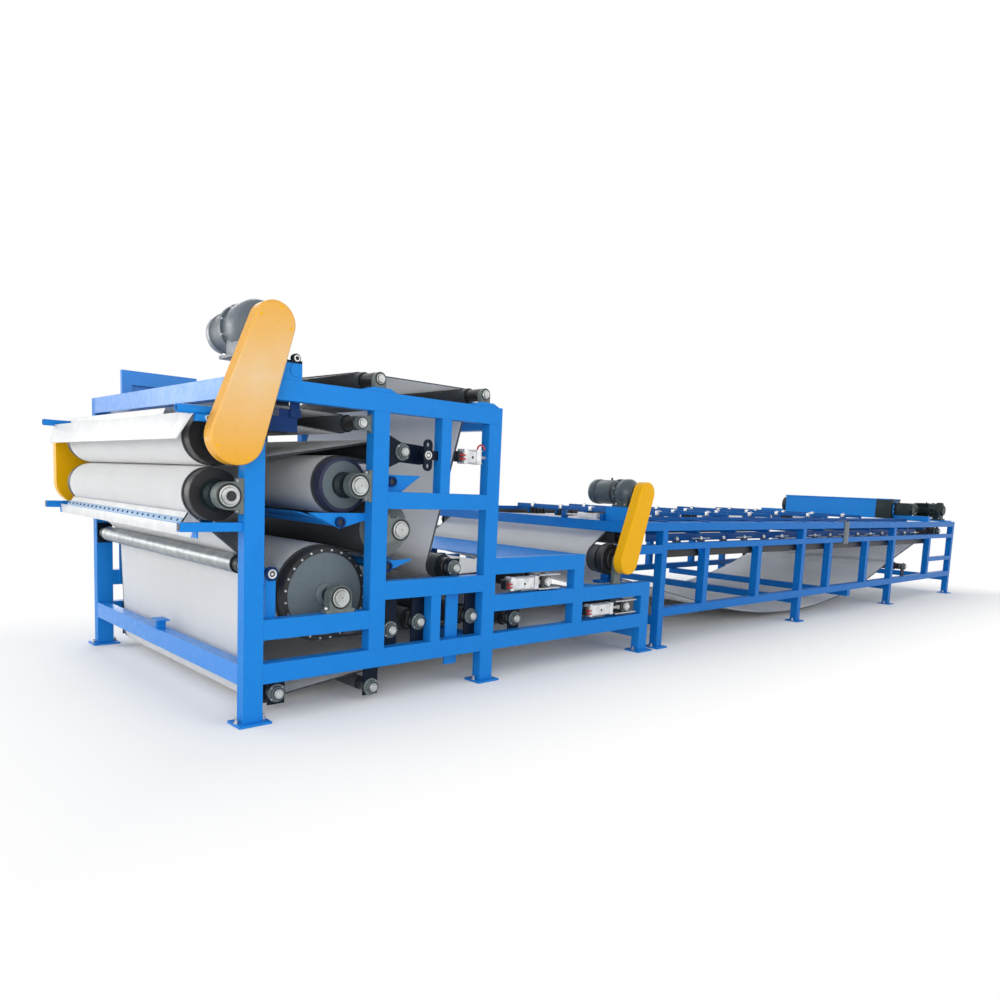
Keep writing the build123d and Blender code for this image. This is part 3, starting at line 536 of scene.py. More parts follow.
class Blank:
    """A piece's mesh while it is being shaped."""

    def __init__(self) -> None:
        """Start with nothing."""
        self.bm = bmesh.new()

    def take(self, part: bmesh.types.BMesh, place: Matrix | None = None) -> None:
        """Move another mesh into this one.

        Args:
            part: The mesh to take, which is used up.
            place: Where it goes.
        """
        mesh = bpy.data.meshes.new("part")
        part.to_mesh(mesh)
        part.free()
        if place is not None:
            mesh.transform(place)
        self.bm.from_mesh(mesh)
        bpy.data.meshes.remove(mesh)

    def block(self, low: Sequence[float], high: Sequence[float], round_edge: float = 0.0) -> None:
        """A block between two corners, with rounded edges if asked.

        Args:
            low: The lowest corner.
            high: The highest corner.
            round_edge: The radius of its edges.
        """
        part = bmesh.new()
        bmesh.ops.create_cube(part, size=1.0)
        bmesh.ops.scale(part, vec=Vector(high) - Vector(low), verts=part.verts)
        bmesh.ops.translate(part, vec=(Vector(high) + Vector(low)) / 2, verts=part.verts)
        if round_edge:
            soften(part, round_edge, 3)
        self.take(part)

    def rod(self, start: Sequence[float], end: Sequence[float], radius: float, sides: int = 24) -> None:
        """A round bar from one point to another.

        Args:
            start: The middle of its first end.
            end: The middle of its other end.
            radius: Its radius.
            sides: How many flat sides stand for the round.
        """
        run = Vector(end) - Vector(start)
        bmesh.ops.create_cone(self.bm, cap_ends=True, cap_tris=False, segments=sides, radius1=radius,
                              radius2=radius, depth=run.length,
                              matrix=stood((Vector(start) + Vector(end)) / 2, run))

    def turned(self, profile: Sequence[Point], start: Sequence[float], along: Sequence[float],
               sides: int = 36) -> None:
        """A lathe-turned shape.

        Args:
            profile: Points as (distance along the axis, radius), closed if the last equals the first.
            start: Where the axis begins.
            along: The axis's direction.
            sides: How many steps make the round.
        """
        part = bmesh.new()
        closed = profile[0] == profile[-1]
        points = profile[:-1] if closed else profile
        verts = [part.verts.new((radius, 0.0, reach)) for reach, radius in points]
        pairs = list(zip(verts, verts[1:]))
        if closed:
            pairs.append((verts[-1], verts[0]))
        edges = [part.edges.new(pair) for pair in pairs]
        bmesh.ops.spin(part, geom=verts + edges, cent=(0, 0, 0), axis=(0, 0, 1),
                       angle=2 * math.pi, steps=sides, use_merge=True)
        bmesh.ops.remove_doubles(part, verts=part.verts, dist=1e-6)
        self.take(part, stood(start, along))

    def ring(self, start: Sequence[float], along: Sequence[float], inner: float, outer: float,
             height: float, chamfer: float = 0.001, sides: int = 36) -> None:
        """A flat ring with softened outer edges.

        Args:
            start: The middle of the face it sits on.
            along: The direction in which it stands up.
            inner: Its inner radius.
            outer: Its outer radius.
            height: How far it stands up.
            chamfer: The width of its chamfers.
            sides: How many steps make the round.
        """
        self.turned((
            (0.0, inner), (0.0, outer), (height - chamfer, outer), (height, outer - chamfer),
            (height, inner + chamfer), (height - chamfer, inner), (0.0, inner),
        ), start, along, sides)

    def disc(self, start: Sequence[float], along: Sequence[float], radius: float, height: float,
             chamfer: float = 0.001, sides: int = 36) -> None:
        """A flat round plate with a softened edge.

        Args:
            start: The middle of the face it sits on.
            along: The direction in which it stands up.
            radius: Its radius.
            height: How far it stands up.
            chamfer: The width of its chamfer.
            sides: How many steps make the round.
        """
        self.turned((
            (0.0, 0.0), (0.0, radius), (height - chamfer, radius), (height, radius - chamfer),
            (height, 0.0),
        ), start, along, sides)

    def bend(self, start: Sequence[float], axis: Sequence[float], centre: Sequence[float],
             sweep: float, radius: float) -> None:
        """A short rigid pipe bend.

        Args:
            start: The middle of its first end.
            axis: The direction of the bend's axis.
            centre: A point on the bend's axis.
            sweep: How far it turns, in degrees.
            radius: The pipe's radius.
        """
        part = bmesh.new()
        tangent = Vector(axis).cross(Vector(start) - Vector(centre))
        bmesh.ops.create_circle(part, cap_ends=False, segments=12, radius=radius,
                                matrix=stood(start, tangent))
        bmesh.ops.spin(part, geom=part.verts[:] + part.edges[:], cent=centre, axis=axis,
                       angle=math.radians(sweep), steps=12, use_merge=False)
        bmesh.ops.holes_fill(part, edges=[edge for edge in part.edges if edge.is_boundary], sides=0)
        self.take(part)

    def bolt(self, place: Sequence[float], along: Sequence[float], size: float) -> None:
        """A hexagon head on a washer.

        Args:
            place: Where the washer sits.
            along: The direction in which the head stands up.
            size: The thread's diameter, from which the head takes its size.
        """
        direction = Vector(along).normalized()
        foot = Vector(place)
        washer_top = foot + direction * 0.18 * size
        self.rod(foot, washer_top, 1.05 * size, 12)
        self.rod(washer_top, washer_top + direction * 0.65 * size, 0.92 * size, 6)

    def slab(self, corners: Sequence[Sequence[float]], rise: Sequence[float],
             round_edge: float = 0.0) -> None:
        """A flat face drawn out to a plate.

        Args:
            corners: The face's corners.
            rise: How far and in which direction it is drawn out.
            round_edge: The radius of its edges.
        """
        part = bmesh.new()
        face = part.faces.new([part.verts.new(corner) for corner in corners])
        grown = bmesh.ops.extrude_face_region(part, geom=[face])
        moved = [item for item in grown["geom"] if isinstance(item, bmesh.types.BMVert)]
        bmesh.ops.translate(part, vec=rise, verts=moved)
        bmesh.ops.recalc_face_normals(part, faces=part.faces)
        if round_edge:
            soften(part, round_edge, 2)
        self.take(part)

    def plate(self, points: Sequence[Point], y_low: float, y_high: float) -> None:
        """A plate whose outline lies along the machine.

        Args:
            points: The outline as (x, z).
            y_low: One face.
            y_high: The other face.
        """
        self.slab([(x, y_low, z) for x, z in points], (0.0, y_high - y_low, 0.0))

    def fins(self, middle: Place, axis: str, count: int, size: Place, shift: Place) -> None:
        """Flat fins spaced evenly round an axis.

        Args:
            middle: A point on the axis, halfway along the fins.
            axis: X or Y, the way that the axis runs.
            count: How many fins.
            size: The first fin's size.
            shift: The first fin's middle, from the point on the axis.
        """
        for index in range(count):
            part = bmesh.new()
            bmesh.ops.create_cube(part, size=1.0)
            bmesh.ops.scale(part, vec=size, verts=part.verts)
            bmesh.ops.translate(part, vec=shift, verts=part.verts)
            turn = Matrix.Rotation(2 * math.pi * index / count, 4, axis)
            self.take(part, Matrix.Translation(middle) @ turn)

    def finish(self, name: str, finish: Finish, body: str = FRAME_BODY,
               stands_for: Sequence[str] = ()) -> None:
        """Close the mesh and make it a piece of the object.

        Args:
            name: The piece's name.
            finish: What it is made of.
            body: The body that it rides on.
            stands_for: The frame's nodes that it replaces.
        """
        bmesh.ops.recalc_face_normals(self.bm, faces=self.bm.faces)
        mesh = bpy.data.meshes.new(name)
        self.bm.to_mesh(mesh)
        self.bm.free()
        mesh.polygons.foreach_set("use_smooth", [True] * len(mesh.polygons))
        mesh.set_sharp_from_angle(angle=SHARP_ANGLE)
        mesh.materials.append(finish.material())
        piece = bpy.data.objects.new(name, mesh)
        bpy.context.scene.collection.objects.link(piece)
        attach(piece, body)
        if stands_for:
            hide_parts(*stands_for)
        log.info("%s: %d faces", name, len(mesh.polygons))


def around(x: float, z: float, radius: float, count: int, phase: float = 0.5) -> Iterator[Point]:
    """Points spaced evenly on a circle that lies along the machine.

    Args:
        x: Its middle along the machine.
        z: Its middle's height.
        radius: Its radius.
        count: How many points.
        phase: The first point's turn, as a share of the pitch.

    Yields:
        Each point as (x, z).
    """
    for index in range(count):
        angle = 2 * math.pi * (index + phase) / count
        yield x + radius * math.cos(angle), z + radius * math.sin(angle)


def evenly(first: float, last: float, count: int) -> list[float]:
    """Numbers spaced evenly from the first to the last."""
    return [first + index * (last - first) / (count - 1) for index in range(count)]


def both_sides(x: float, y: float, z: float) -> Iterator[tuple[Place, Place]]:
    """A point on either side of the machine, each with the direction out.

    Args:
        x: Its place along the machine.
        y: How far from the middle of the machine it is.
        z: Its height.

    Yields:
        Each point and its direction.
    """
    for side in SIDES:
        yield (x, side * y, z), (0.0, side, 0.0)


def side_span(side: float, inner: float, outer: float) -> list[float]:
    """The low and high y of what lies between two distances on one side of the machine."""
    return sorted((side * inner, side * outer))


@dataclass
class RollerPlace:
    """Where a roller is, read from the frame."""

    name: str
    x: float
    z: float
    radius: float
    shaft_end: float

    @classmethod
    def read(cls, name: str) -> "RollerPlace":
        """Read a roller's place from its node.

        Args:
            name: The roller's node, which is also its body.

        Returns:
            The roller's place.
        """
        low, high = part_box(name)
        return cls(name, (low.x + high.x) / 2, (low.z + high.z) / 2, (high.x - low.x) / 2, high.y)


class EndStyle(Enum):
    """How a roller's end looks."""

    NIP = "nip"
    NAVY = "navy"
    FLAT = "flat"
    DRUM = "drum"
    SMALL = "small"


@dataclass
class RollerDress:
    """A roller's end plates, rims, bolts and bright shaft."""

    place: RollerPlace
    style: EndStyle
    shaft_radius: float
    bearing_inner_y: float
    bearing_outer_y: float
    shaft_tip_y: float
    tip_radius: float
    plate_proud: float = 0.004

    def build(self) -> None:
        """Build the pieces of both ends."""
        builders = {
            EndStyle.NIP: self.nip_end, EndStyle.NAVY: self.navy_end, EndStyle.FLAT: self.flat_end,
            EndStyle.DRUM: self.drum_end, EndStyle.SMALL: self.small_end,
        }
        builders[self.style]()
        self.shaft()

    @property
    def rim(self) -> float:
        """The radius of what lies flush with the roller's cover."""
        return self.place.radius - 0.0005

    def ends(self, y: float) -> Iterator[tuple[Place, Place]]:
        """Both points on the roller's axis at a distance from the middle, each with the direction out."""
        return both_sides(self.place.x, y, self.place.z)

    def close(self, blank: Blank, suffix: str, finish: Finish) -> None:
        """Finish a blank as a piece of the roller's own body.

        Args:
            blank: The shape.
            suffix: The last words of the piece's name.
            finish: What it is made of.
        """
        blank.finish(f"{self.place.name}_{suffix}", finish, self.place.name)

    def shaft(self) -> None:
        """The bright shaft past the bearing, and the sleeve between the bearing and the roller."""
        steel, sleeves = Blank(), Blank()
        small = self.style is EndStyle.SMALL
        sleeve = 0.80 * self.place.radius if small else self.shaft_radius + 0.0006
        reach = self.bearing_inner_y - ROLLER_FACE_Y - 0.006
        for start, along in self.ends(ROLLER_FACE_Y):
            sleeves.ring(start, along, self.shaft_radius - 0.004, sleeve, reach, 0.004 if small else 0.0004)
        length = self.shaft_tip_y - self.bearing_outer_y
        chamfer = 0.08 * self.tip_radius
        hole = 0.16 * self.tip_radius
        for start, along in self.ends(self.bearing_outer_y):
            steel.turned((
                (0.0, 0.0), (0.0, self.tip_radius), (length - chamfer, self.tip_radius),
                (length, self.tip_radius - chamfer), (length, hole), (length - hole, 0.0),
            ), start, along)
        self.close(steel, "shaft", SHAFT_STEEL)
        self.close(sleeves, "sleeves", SEAL_BLACK if small else GEAR_GREEN)

    def bolt_circle(self, count: int, radius: float, size: float, proud: float) -> None:
        """A circle of bolts on both ends.

        Args:
            count: How many bolts.
            radius: The circle's radius.
            size: The bolts' thread.
            proud: How far out from the roller's face they sit.
        """
        bolts = Blank()
        for side in SIDES:
            for x, z in around(self.place.x, self.place.z, radius, count):
                bolts.bolt((x, side * (ROLLER_FACE_Y + proud), z), (0.0, side, 0.0), size)
        self.close(bolts, "end_bolts", ZINC)

    def end_rings(self, suffix: str, finish: Finish, inner: float, outer: float, height: float) -> None:
        """The same ring or disc on both ends.

        Args:
            suffix: The last words of the piece's name.
            finish: What it is made of.
            inner: Its inner radius, or 0 for a disc.
            outer: Its outer radius.
            height: How far it stands out from the roller's face.
        """
        blank = Blank()
        for start, along in self.ends(ROLLER_FACE_Y):
            if inner:
                blank.ring(start, along, inner, outer, height, 0.0015, 64)
            else:
                blank.disc(start, along, outer, height, 0.0015, 64)
        self.close(blank, suffix, finish)

    def hub(self, finish: Finish, radius: float, height: float) -> None:
        """A hub that tapers to the shaft on both ends.

        Args:
            finish: What it is made of.
            radius: Its radius at the end plate.
            height: How far out it reaches.
        """
        blank = Blank()
        for start, along in self.ends(ROLLER_FACE_Y + 0.001):
            blank.turned((
                (0.0, self.shaft_radius), (0.0, radius), (0.35 * height, radius),
                (0.6 * height, 0.72 * radius), (height, 0.68 * radius), (height, self.shaft_radius),
                (0.0, self.shaft_radius),
            ), start, along, 48)
        self.close(blank, "hubs", finish)

    def nip_end(self) -> None:
        """Black rubber end with a dark inner plate and a dark centre in the shaft."""
        inner = 0.60 * self.place.radius
        self.end_rings("rim", SEAL_BLACK, inner, self.rim, 0.010)
        self.end_rings("end_plate", GEAR_GREEN, 0.0, inner, self.plate_proud)
        self.hub(GEAR_GREEN, 0.50 * self.place.radius, 0.060)
        centres = Blank()
        for start, along in self.ends(self.shaft_tip_y - 0.0002):
            centres.disc(start, along, 0.60 * self.tip_radius, 0.0014, 0.0004)
        self.close(centres, "centres", SEAL_BLACK)

    def navy_end(self) -> None:
        """Grey end plate inside a dark blue rim, with a long hub."""
        inner = 0.875 * self.place.radius
        self.end_rings("rim", RIM_NAVY, inner, self.rim, 0.006)
        self.end_rings("end_plate", PLATE_GREY, 0.0, inner, self.plate_proud)
        self.hub(GEAR_GREEN, 0.48 * self.place.radius, 0.085)

    def flat_end(self) -> None:
        """Flat grey end plate with a boss and a few bolts."""
        radius = self.place.radius
        self.end_rings("end_plate", REAR_GREY, 0.0, self.rim, self.plate_proud)
        self.end_rings("boss", REAR_GREY, 0.0, 0.50 * radius, 0.018)
        self.bolt_circle(6, 0.66 * radius, 0.012, self.plate_proud)

    def drum_end(self) -> None:
        """Large grey end plate inside a black bolted flange."""
        radius = self.place.radius
        flange_inner = 0.895 * radius
        flange_proud = 0.014
        self.end_rings("flange", SEAL_BLACK, flange_inner, self.rim, flange_proud)
        self.end_rings("end_plate", PLATE_GREY, 0.0, flange_inner, self.plate_proud)
        self.hub(PLATE_GREY, 0.24 * radius, 0.040)
        self.bolt_circle(24, 0.945 * radius, 0.007, flange_proud)

    def small_end(self) -> None:
        """Plain end of a small roller."""
        self.end_rings("end_plate", GEAR_GREEN, 0.0, self.rim, self.plate_proud)


@dataclass
class Bearings:
    """All the rollers' ends, with the bearings' rings, outer housings and foot bolts."""

    main_styles: dict[str, EndStyle] = field(default_factory=lambda: {
        "upper_nip_roller": EndStyle.NIP, "lower_nip_roller": EndStyle.NIP,
        "middle_roller": EndStyle.NAVY, "rear_roller": EndStyle.FLAT, "press_drum": EndStyle.DRUM,
    })
    block_rollers: tuple[str, ...] = ("upper_return_roller", "top_front_roller", "top_rear_roller")
    slide_rollers: tuple[str, ...] = ("upper_tension_roller", "lower_tension_roller")
    drive_roller: str = "table_drive_roller"
    main_face_y: float = 1.365
    main_tip_y: float = 1.3897
    main_housing: float = 0.078
    main_shaft: float = 0.045
    block_face_y: float = 1.347
    block_housing: float = 0.044
    strap_face_y: float = 1.290
    cap_housing: float = 0.046
    cap_depth: float = 0.034
    cap_flange: float = 0.010
    idler_shaft: float = 0.020
    idler_tip: float = 0.024
    steel: Blank = field(default_factory=Blank)
    seal: Blank = field(default_factory=Blank)
    caps: Blank = field(default_factory=Blank)
    bolts: Blank = field(default_factory=Blank)

    def build(self) -> None:
        """Dress every roller and its bearings."""
        for body in frame["bodies"]:
            if body == FRAME_BODY:
                continue
            place = RollerPlace.read(body)
            if body in self.main_styles:
                self.main(place)
            elif body == self.drive_roller:
                self.block(place, 0.0, self.idler_shaft + 0.001, self.idler_tip)
            elif body in self.block_rollers or body in self.slide_rollers:
                self.block(place, 0.006, self.idler_tip, self.idler_tip + 0.001)
            else:
                self.strapped(place)
        self.main_feet()
        self.steel.finish("bearing_rings", RING_STEEL)
        self.seal.finish("bearing_seals", SEAL_BLACK)
        self.caps.finish("bearing_caps", BEARING_IRON)
        self.bolts.finish("bearing_bolts", ZINC)

    def rings(self, place: RollerPlace, face_y: float, housing: float, inner: float) -> None:
        """The bright ring and the black seal round it on the outer face of a roller's bearings.

        Args:
            place: The roller's place.
            face_y: The face they sit on.
            housing: The housing's radius.
            inner: The bright ring's inner radius.
        """
        wide = housing - inner
        middle = inner + 0.30 * wide
        outer = inner + 0.74 * wide
        for start, along in both_sides(place.x, face_y, place.z):
            self.seal.ring(start, along, middle, outer, 0.004, 0.001, 48)
            self.steel.ring(start, along, inner, middle, 0.007, 0.002, 48)

    def main(self, place: RollerPlace) -> None:
        """A large roller in plummer blocks.

        Args:
            place: The roller's place.
        """
        RollerDress(place, self.main_styles[place.name], self.main_shaft, 2 * SIDE_Y - self.main_face_y,
                    self.main_face_y, self.main_tip_y, self.main_shaft + 0.004).build()
        self.rings(place, self.main_face_y, self.main_housing, self.main_shaft + 0.005)

    def block(self, place: RollerPlace, past: float, tip: float, ring_inner: float) -> None:
        """A small roller in blocks in the plane of the side frame.

        Args:
            place: The roller's place.
            past: How far the bright shaft passes the solid one.
            tip: The bright shaft's radius.
            ring_inner: The bright ring's inner radius.
        """
        RollerDress(place, EndStyle.SMALL, self.idler_shaft, 2 * SIDE_Y - self.block_face_y,
                    self.block_face_y, place.shaft_end + past, tip).build()
        if place.name in self.slide_rollers:
            nuts = Blank()
            for side in SIDES:
                nuts.rod((place.x, side * 1.353, place.z), (place.x, side * 1.372, place.z), 0.036, 4)
            nuts.finish(f"{place.name}_square_nuts", ALUMINIUM, place.name)
        self.rings(place, self.block_face_y, self.block_housing, ring_inner)

    def strapped(self, place: RollerPlace) -> None:
        """A small roller carried by straps, with a round flanged cap outside each strap.

        Args:
            place: The roller's place.
        """
        face = self.strap_face_y + self.cap_depth
        housing, depth = self.cap_housing, self.cap_depth
        bore = self.idler_tip + 0.001
        RollerDress(place, EndStyle.SMALL, self.idler_shaft, self.strap_face_y - 0.046, face - 0.004,
                    face + 0.012, self.idler_tip).build()
        for start, along in both_sides(place.x, self.strap_face_y, place.z):
            self.caps.turned((
                (0.0, bore), (0.0, housing + 0.010), (self.cap_flange, housing + 0.010), (0.013, housing),
                (depth - 0.003, housing - 0.003), (depth, housing - 0.006), (depth, bore), (0.0, bore),
            ), start, along, 40)
            for x, z in around(place.x, place.z, housing + 0.003, 4):
                self.bolts.bolt((x, along[1] * (self.strap_face_y + self.cap_flange), z), along, 0.006)
        self.rings(place, face, housing - 0.006, bore)

    def main_feet(self) -> None:
        """The bolts through the large plummer blocks' feet."""
        reach, foot = 0.084, 0.024
        front, middle_front, middle_rear, rail_top = -0.060, 0.785, 0.905, 0.610
        spots = (
            ("upper_nip_roller", (front - foot, None), (-1.0, 0.0)),
            ("lower_nip_roller", (front - foot, None), (-1.0, 0.0)),
            ("middle_roller", (middle_front - foot, None), (-1.0, 0.0)),
            ("rear_roller", (middle_rear + foot, None), (1.0, 0.0)),
            ("press_drum", (None, rail_top + foot), (0.0, 1.0)),
        )
        for name, (x, z), (along_x, along_z) in spots:
            place = RollerPlace.read(name)
            for side in SIDES:
                y = side * SIDE_Y
                for end in (-reach, reach):
                    at = (place.x + end, y, z) if x is None else (x, y, place.z + end)
                    self.bolts.bolt(at, (along_x, 0.0, along_z), 0.016)


@dataclass
class Fasteners:
    """Anchor bolts in the feet and the corner gussets of the table's bays."""

    press_posts: tuple[float, ...] = (0.0, 1.82, 3.745)
    table_legs: tuple[float, ...] = (4.005, 6.802, 9.592, 12.075)
    uprights: tuple[float, ...] = (4.732, 5.78, 7.543, 8.669, 11.038)
    foot_top: float = 0.014
    press_reach: float = 0.082
    table_reach: float = 0.062
    second_low: float = 0.916
    tube_half: float = 0.04
    gusset: float = 0.075
    gusset_inset: float = 0.046
    gusset_thick: float = 0.006

    def build(self) -> None:
        """Build them all."""
        self.anchors()
        self.gussets()

    def anchors(self) -> None:
        """A nut, washer and stud in every foot's hole."""
        bolts = Blank()
        up = Vector(UP)
        for spots, reach in ((self.press_posts, self.press_reach), (self.table_legs, self.table_reach)):
            for x in spots:
                for side in SIDES:
                    for end in (-reach, reach):
                        foot = Vector((x + end, side * SIDE_Y, self.foot_top))
                        bolts.bolt(foot, up, 0.016)
                        bolts.rod(foot, foot + 0.030 * up, 0.0075, 16)
        bolts.finish("foot_anchors", ZINC)

    def gussets(self) -> None:
        """Small corner plates under the second rail."""
        plates = Blank()
        posts = sorted(self.table_legs + self.uprights)
        top, size = self.second_low, self.gusset
        for first, second in zip(posts[:-1], posts[1:]):
            for side in SIDES:
                low = side * (OUTER_Y - self.gusset_inset) - self.gusset_thick / 2
                for corner, inward in ((first + self.tube_half, size), (second - self.tube_half, -size)):
                    plates.plate(((corner, top), (corner + inward, top), (corner, top - size)),
                                 low, low + self.gusset_thick)
        plates.finish("table_gussets", SHADED_RAIL_BLUE)


@dataclass
class GearMotor:
    """A gear motor across the machine: gear case, motor, cowl and terminal box.

    A smooth one has no ribs or fins, and a black ring of painted shadow where its motor meets the gear
    case.
    """

    node: str
    x: float
    z: float
    foot_z: float
    y_start: float
    gear_radius: float
    gear_long: float
    motor_radius: float
    motor_long: float
    case_finish: Finish = GEAR_GREEN
    body_finish: Finish = MOTOR_GREY
    cowl_finish: Finish = COWL_GREY
    smooth: bool = False
    foot_thick: float = 0.020
    rib_thick: float = 0.008
    fin_count: int = 28
    fin_thick: float = 0.0035
    fin_bite: float = 0.004
    box_half: float = 0.055
    box_past: float = 0.045
    lid_thick: float = 0.012
    lid_lap: float = 0.004

    def build(self) -> None:
        """Build the unit's pieces."""
        self.case()
        self.motor()
        self.cowl()
        self.terminal_box()
        if self.smooth:
            self.painted_shadow_band()

    @property
    def motor_start(self) -> float:
        """Where the motor meets the gear case."""
        return self.y_start + self.gear_long

    def at(self, y: float) -> Place:
        """A point on the motor's axis."""
        return (self.x, y, self.z)

    def case(self) -> None:
        """The gear case with its flange, foot and bolts."""
        radius, long = self.gear_radius, self.gear_long
        case, bolts = Blank(), Blank()
        case.turned((
            (0.0, 0.0), (0.0, 0.62 * radius), (0.02, 0.66 * radius), (0.05, 0.93 * radius),
            (0.10 * long + 0.05, radius), (0.62 * long, radius), (0.72 * long, 0.93 * radius),
            (0.90 * long, 0.90 * radius), (0.90 * long, 0.99 * radius), (long, 0.99 * radius), (long, 0.0),
        ), self.at(self.y_start), ALONG_Y, 56)
        half = 0.78 * radius
        foot_top = self.foot_z + self.foot_thick
        y_low, y_high = self.y_start + 0.012, self.motor_start - 0.02
        case.block((self.x - half, y_low + 0.02, self.foot_z + 0.01),
                   (self.x + half, y_high - 0.02, self.z - 0.3 * radius), 0.008)
        case.block((self.x - radius, y_low, self.foot_z), (self.x + radius, y_high, foot_top), 0.003)
        for rib in () if self.smooth else range(-2, 3):
            offset = 0.32 * rib * radius
            top = self.z + math.sqrt(radius ** 2 - offset ** 2) + 0.006
            middle = self.x + offset
            case.block((middle - self.rib_thick / 2, y_low + 0.02, self.z - 0.2 * radius),
                       (middle + self.rib_thick / 2, self.y_start + 0.60 * long, top), 0.0015)
        for end_x in (-0.86, 0.86):
            for y in (y_low + 0.03, y_high - 0.03):
                bolts.bolt((self.x + end_x * radius, y, foot_top), UP, 0.012)
        for x, z in around(self.x, self.z, 0.94 * radius, 10):
            bolts.bolt((x, self.y_start + 0.90 * long, z), TO_NEAR, 0.008)
        case.finish(f"{self.node}_case", self.case_finish, stands_for=(self.node,))
        bolts.finish(f"{self.node}_bolts", ZINC)

    def motor(self) -> None:
        """The motor's barrel, with cooling fins along it unless it is smooth, and its lifting eye."""
        start = self.motor_start
        radius, long = self.motor_radius, self.motor_long
        barrel = Blank()
        core = 0.96 * radius if self.smooth else 0.86 * radius
        barrel.turned((
            (0.0, 0.0), (0.0, 0.97 * radius), (0.035, 0.97 * radius), (0.045, core),
            (0.66 * long, core), (0.67 * long, 0.95 * radius), (0.72 * long, 0.95 * radius),
            (0.72 * long, 0.0),
        ), self.at(start), ALONG_Y, 48)
        if not self.smooth:
            low, high = start + 0.04, start + 0.665 * long
            depth = radius - core + self.fin_bite
            barrel.fins(self.at((low + high) / 2), "Y", self.fin_count, (depth, high - low, self.fin_thick),
                        (core + depth / 2 - self.fin_bite, 0.0, 0.0))
        barrel.turned((
            (0.0, 0.006), (0.0, 0.010), (0.016, 0.010), (0.020, 0.006), (0.0, 0.006),
        ), (self.x, start + 0.3 * long, self.z + radius - 0.004), UP, 16)
        barrel.finish(f"{self.node}_barrel", self.body_finish)

    def cowl(self) -> None:
        """The fan cowl: a round cover with rows of black discs on its end, painted shade standing for its
        slots.
        """
        start = self.motor_start + 0.70 * self.motor_long
        radius, long = self.motor_radius, 0.30 * self.motor_long
        cowl, slots = Blank(), Blank()
        cowl.turned((
            (0.0, 0.90 * radius), (0.0, radius), (0.40 * long, radius), (0.62 * long, 0.97 * radius),
            (0.82 * long, 0.88 * radius), (0.95 * long, 0.74 * radius), (long, 0.62 * radius), (long, 0.0),
        ), self.at(start), ALONG_Y, 56)
        # Painted shade: black discs stand for the dark slots.
        face = start + long - 0.0005
        for circle in (0.20, 0.34, 0.48, 0.60):
            for x, z in around(self.x, self.z, circle * radius, int(40 * circle) + 4, 0.0):
                slots.rod((x, face, z), (x, face + 0.0015, z), 0.035 * radius, 8)
        cowl.finish(f"{self.node}_cowl", self.cowl_finish)
        slots.finish(f"{self.node}_cowl_slot_shade", SEAL_BLACK)

    def painted_shadow_band(self) -> None:
        """A black ring in the gap between the gear case and the motor's barrel: painted shadow of the gap.
        """
        dark = Blank()
        dark.ring(self.at(self.motor_start + 0.001), ALONG_Y, 0.80 * self.motor_radius,
                  0.985 * self.motor_radius, 0.034, 0.003, 48)
        dark.finish(f"{self.node}_band", SEAL_BLACK)

    def terminal_box(self) -> None:
        """The terminal box with its lid, screws and cable gland."""
        start = self.motor_start + 0.30 * self.motor_long
        end = start + 0.36 * self.motor_long
        low, high = self.z - self.box_half, self.z + self.box_half
        outer_x = self.x + self.motor_radius + self.box_past
        lid_x = outer_x + self.lid_thick
        lap = self.lid_lap
        box, lid, gland = Blank(), Blank(), Blank()
        box.block((self.x + 0.8 * self.motor_radius, start, low), (outer_x, end, high), 0.006)
        lid.block((outer_x, start - lap, low - lap), (lid_x, end + lap, high + lap), 0.004)
        for y in (start + 0.010, end - 0.010):
            for z in (low + 0.010, high - 0.010):
                gland.bolt((lid_x, y, z), ALONG_X, 0.004)
        x, y = outer_x - 0.03, (start + end) / 2
        gland.rod((x, y, low), (x, y, low - 0.014), 0.013, 6)
        gland.rod((x, y, low - 0.014), (x, y, low - 0.024), 0.011, 20)
        box.finish(f"{self.node}_terminal_box", self.body_finish)
        lid.finish(f"{self.node}_terminal_lid", self.cowl_finish)
        gland.finish(f"{self.node}_terminal_fittings", ZINC)


@dataclass(frozen=True)
class Cylinder:
    """Where one pair of tension cylinders is, and whether a short air loop stands on each."""

    x_low: float
    x_high: float
    z: float
    rod_end: float
    looped: bool = False


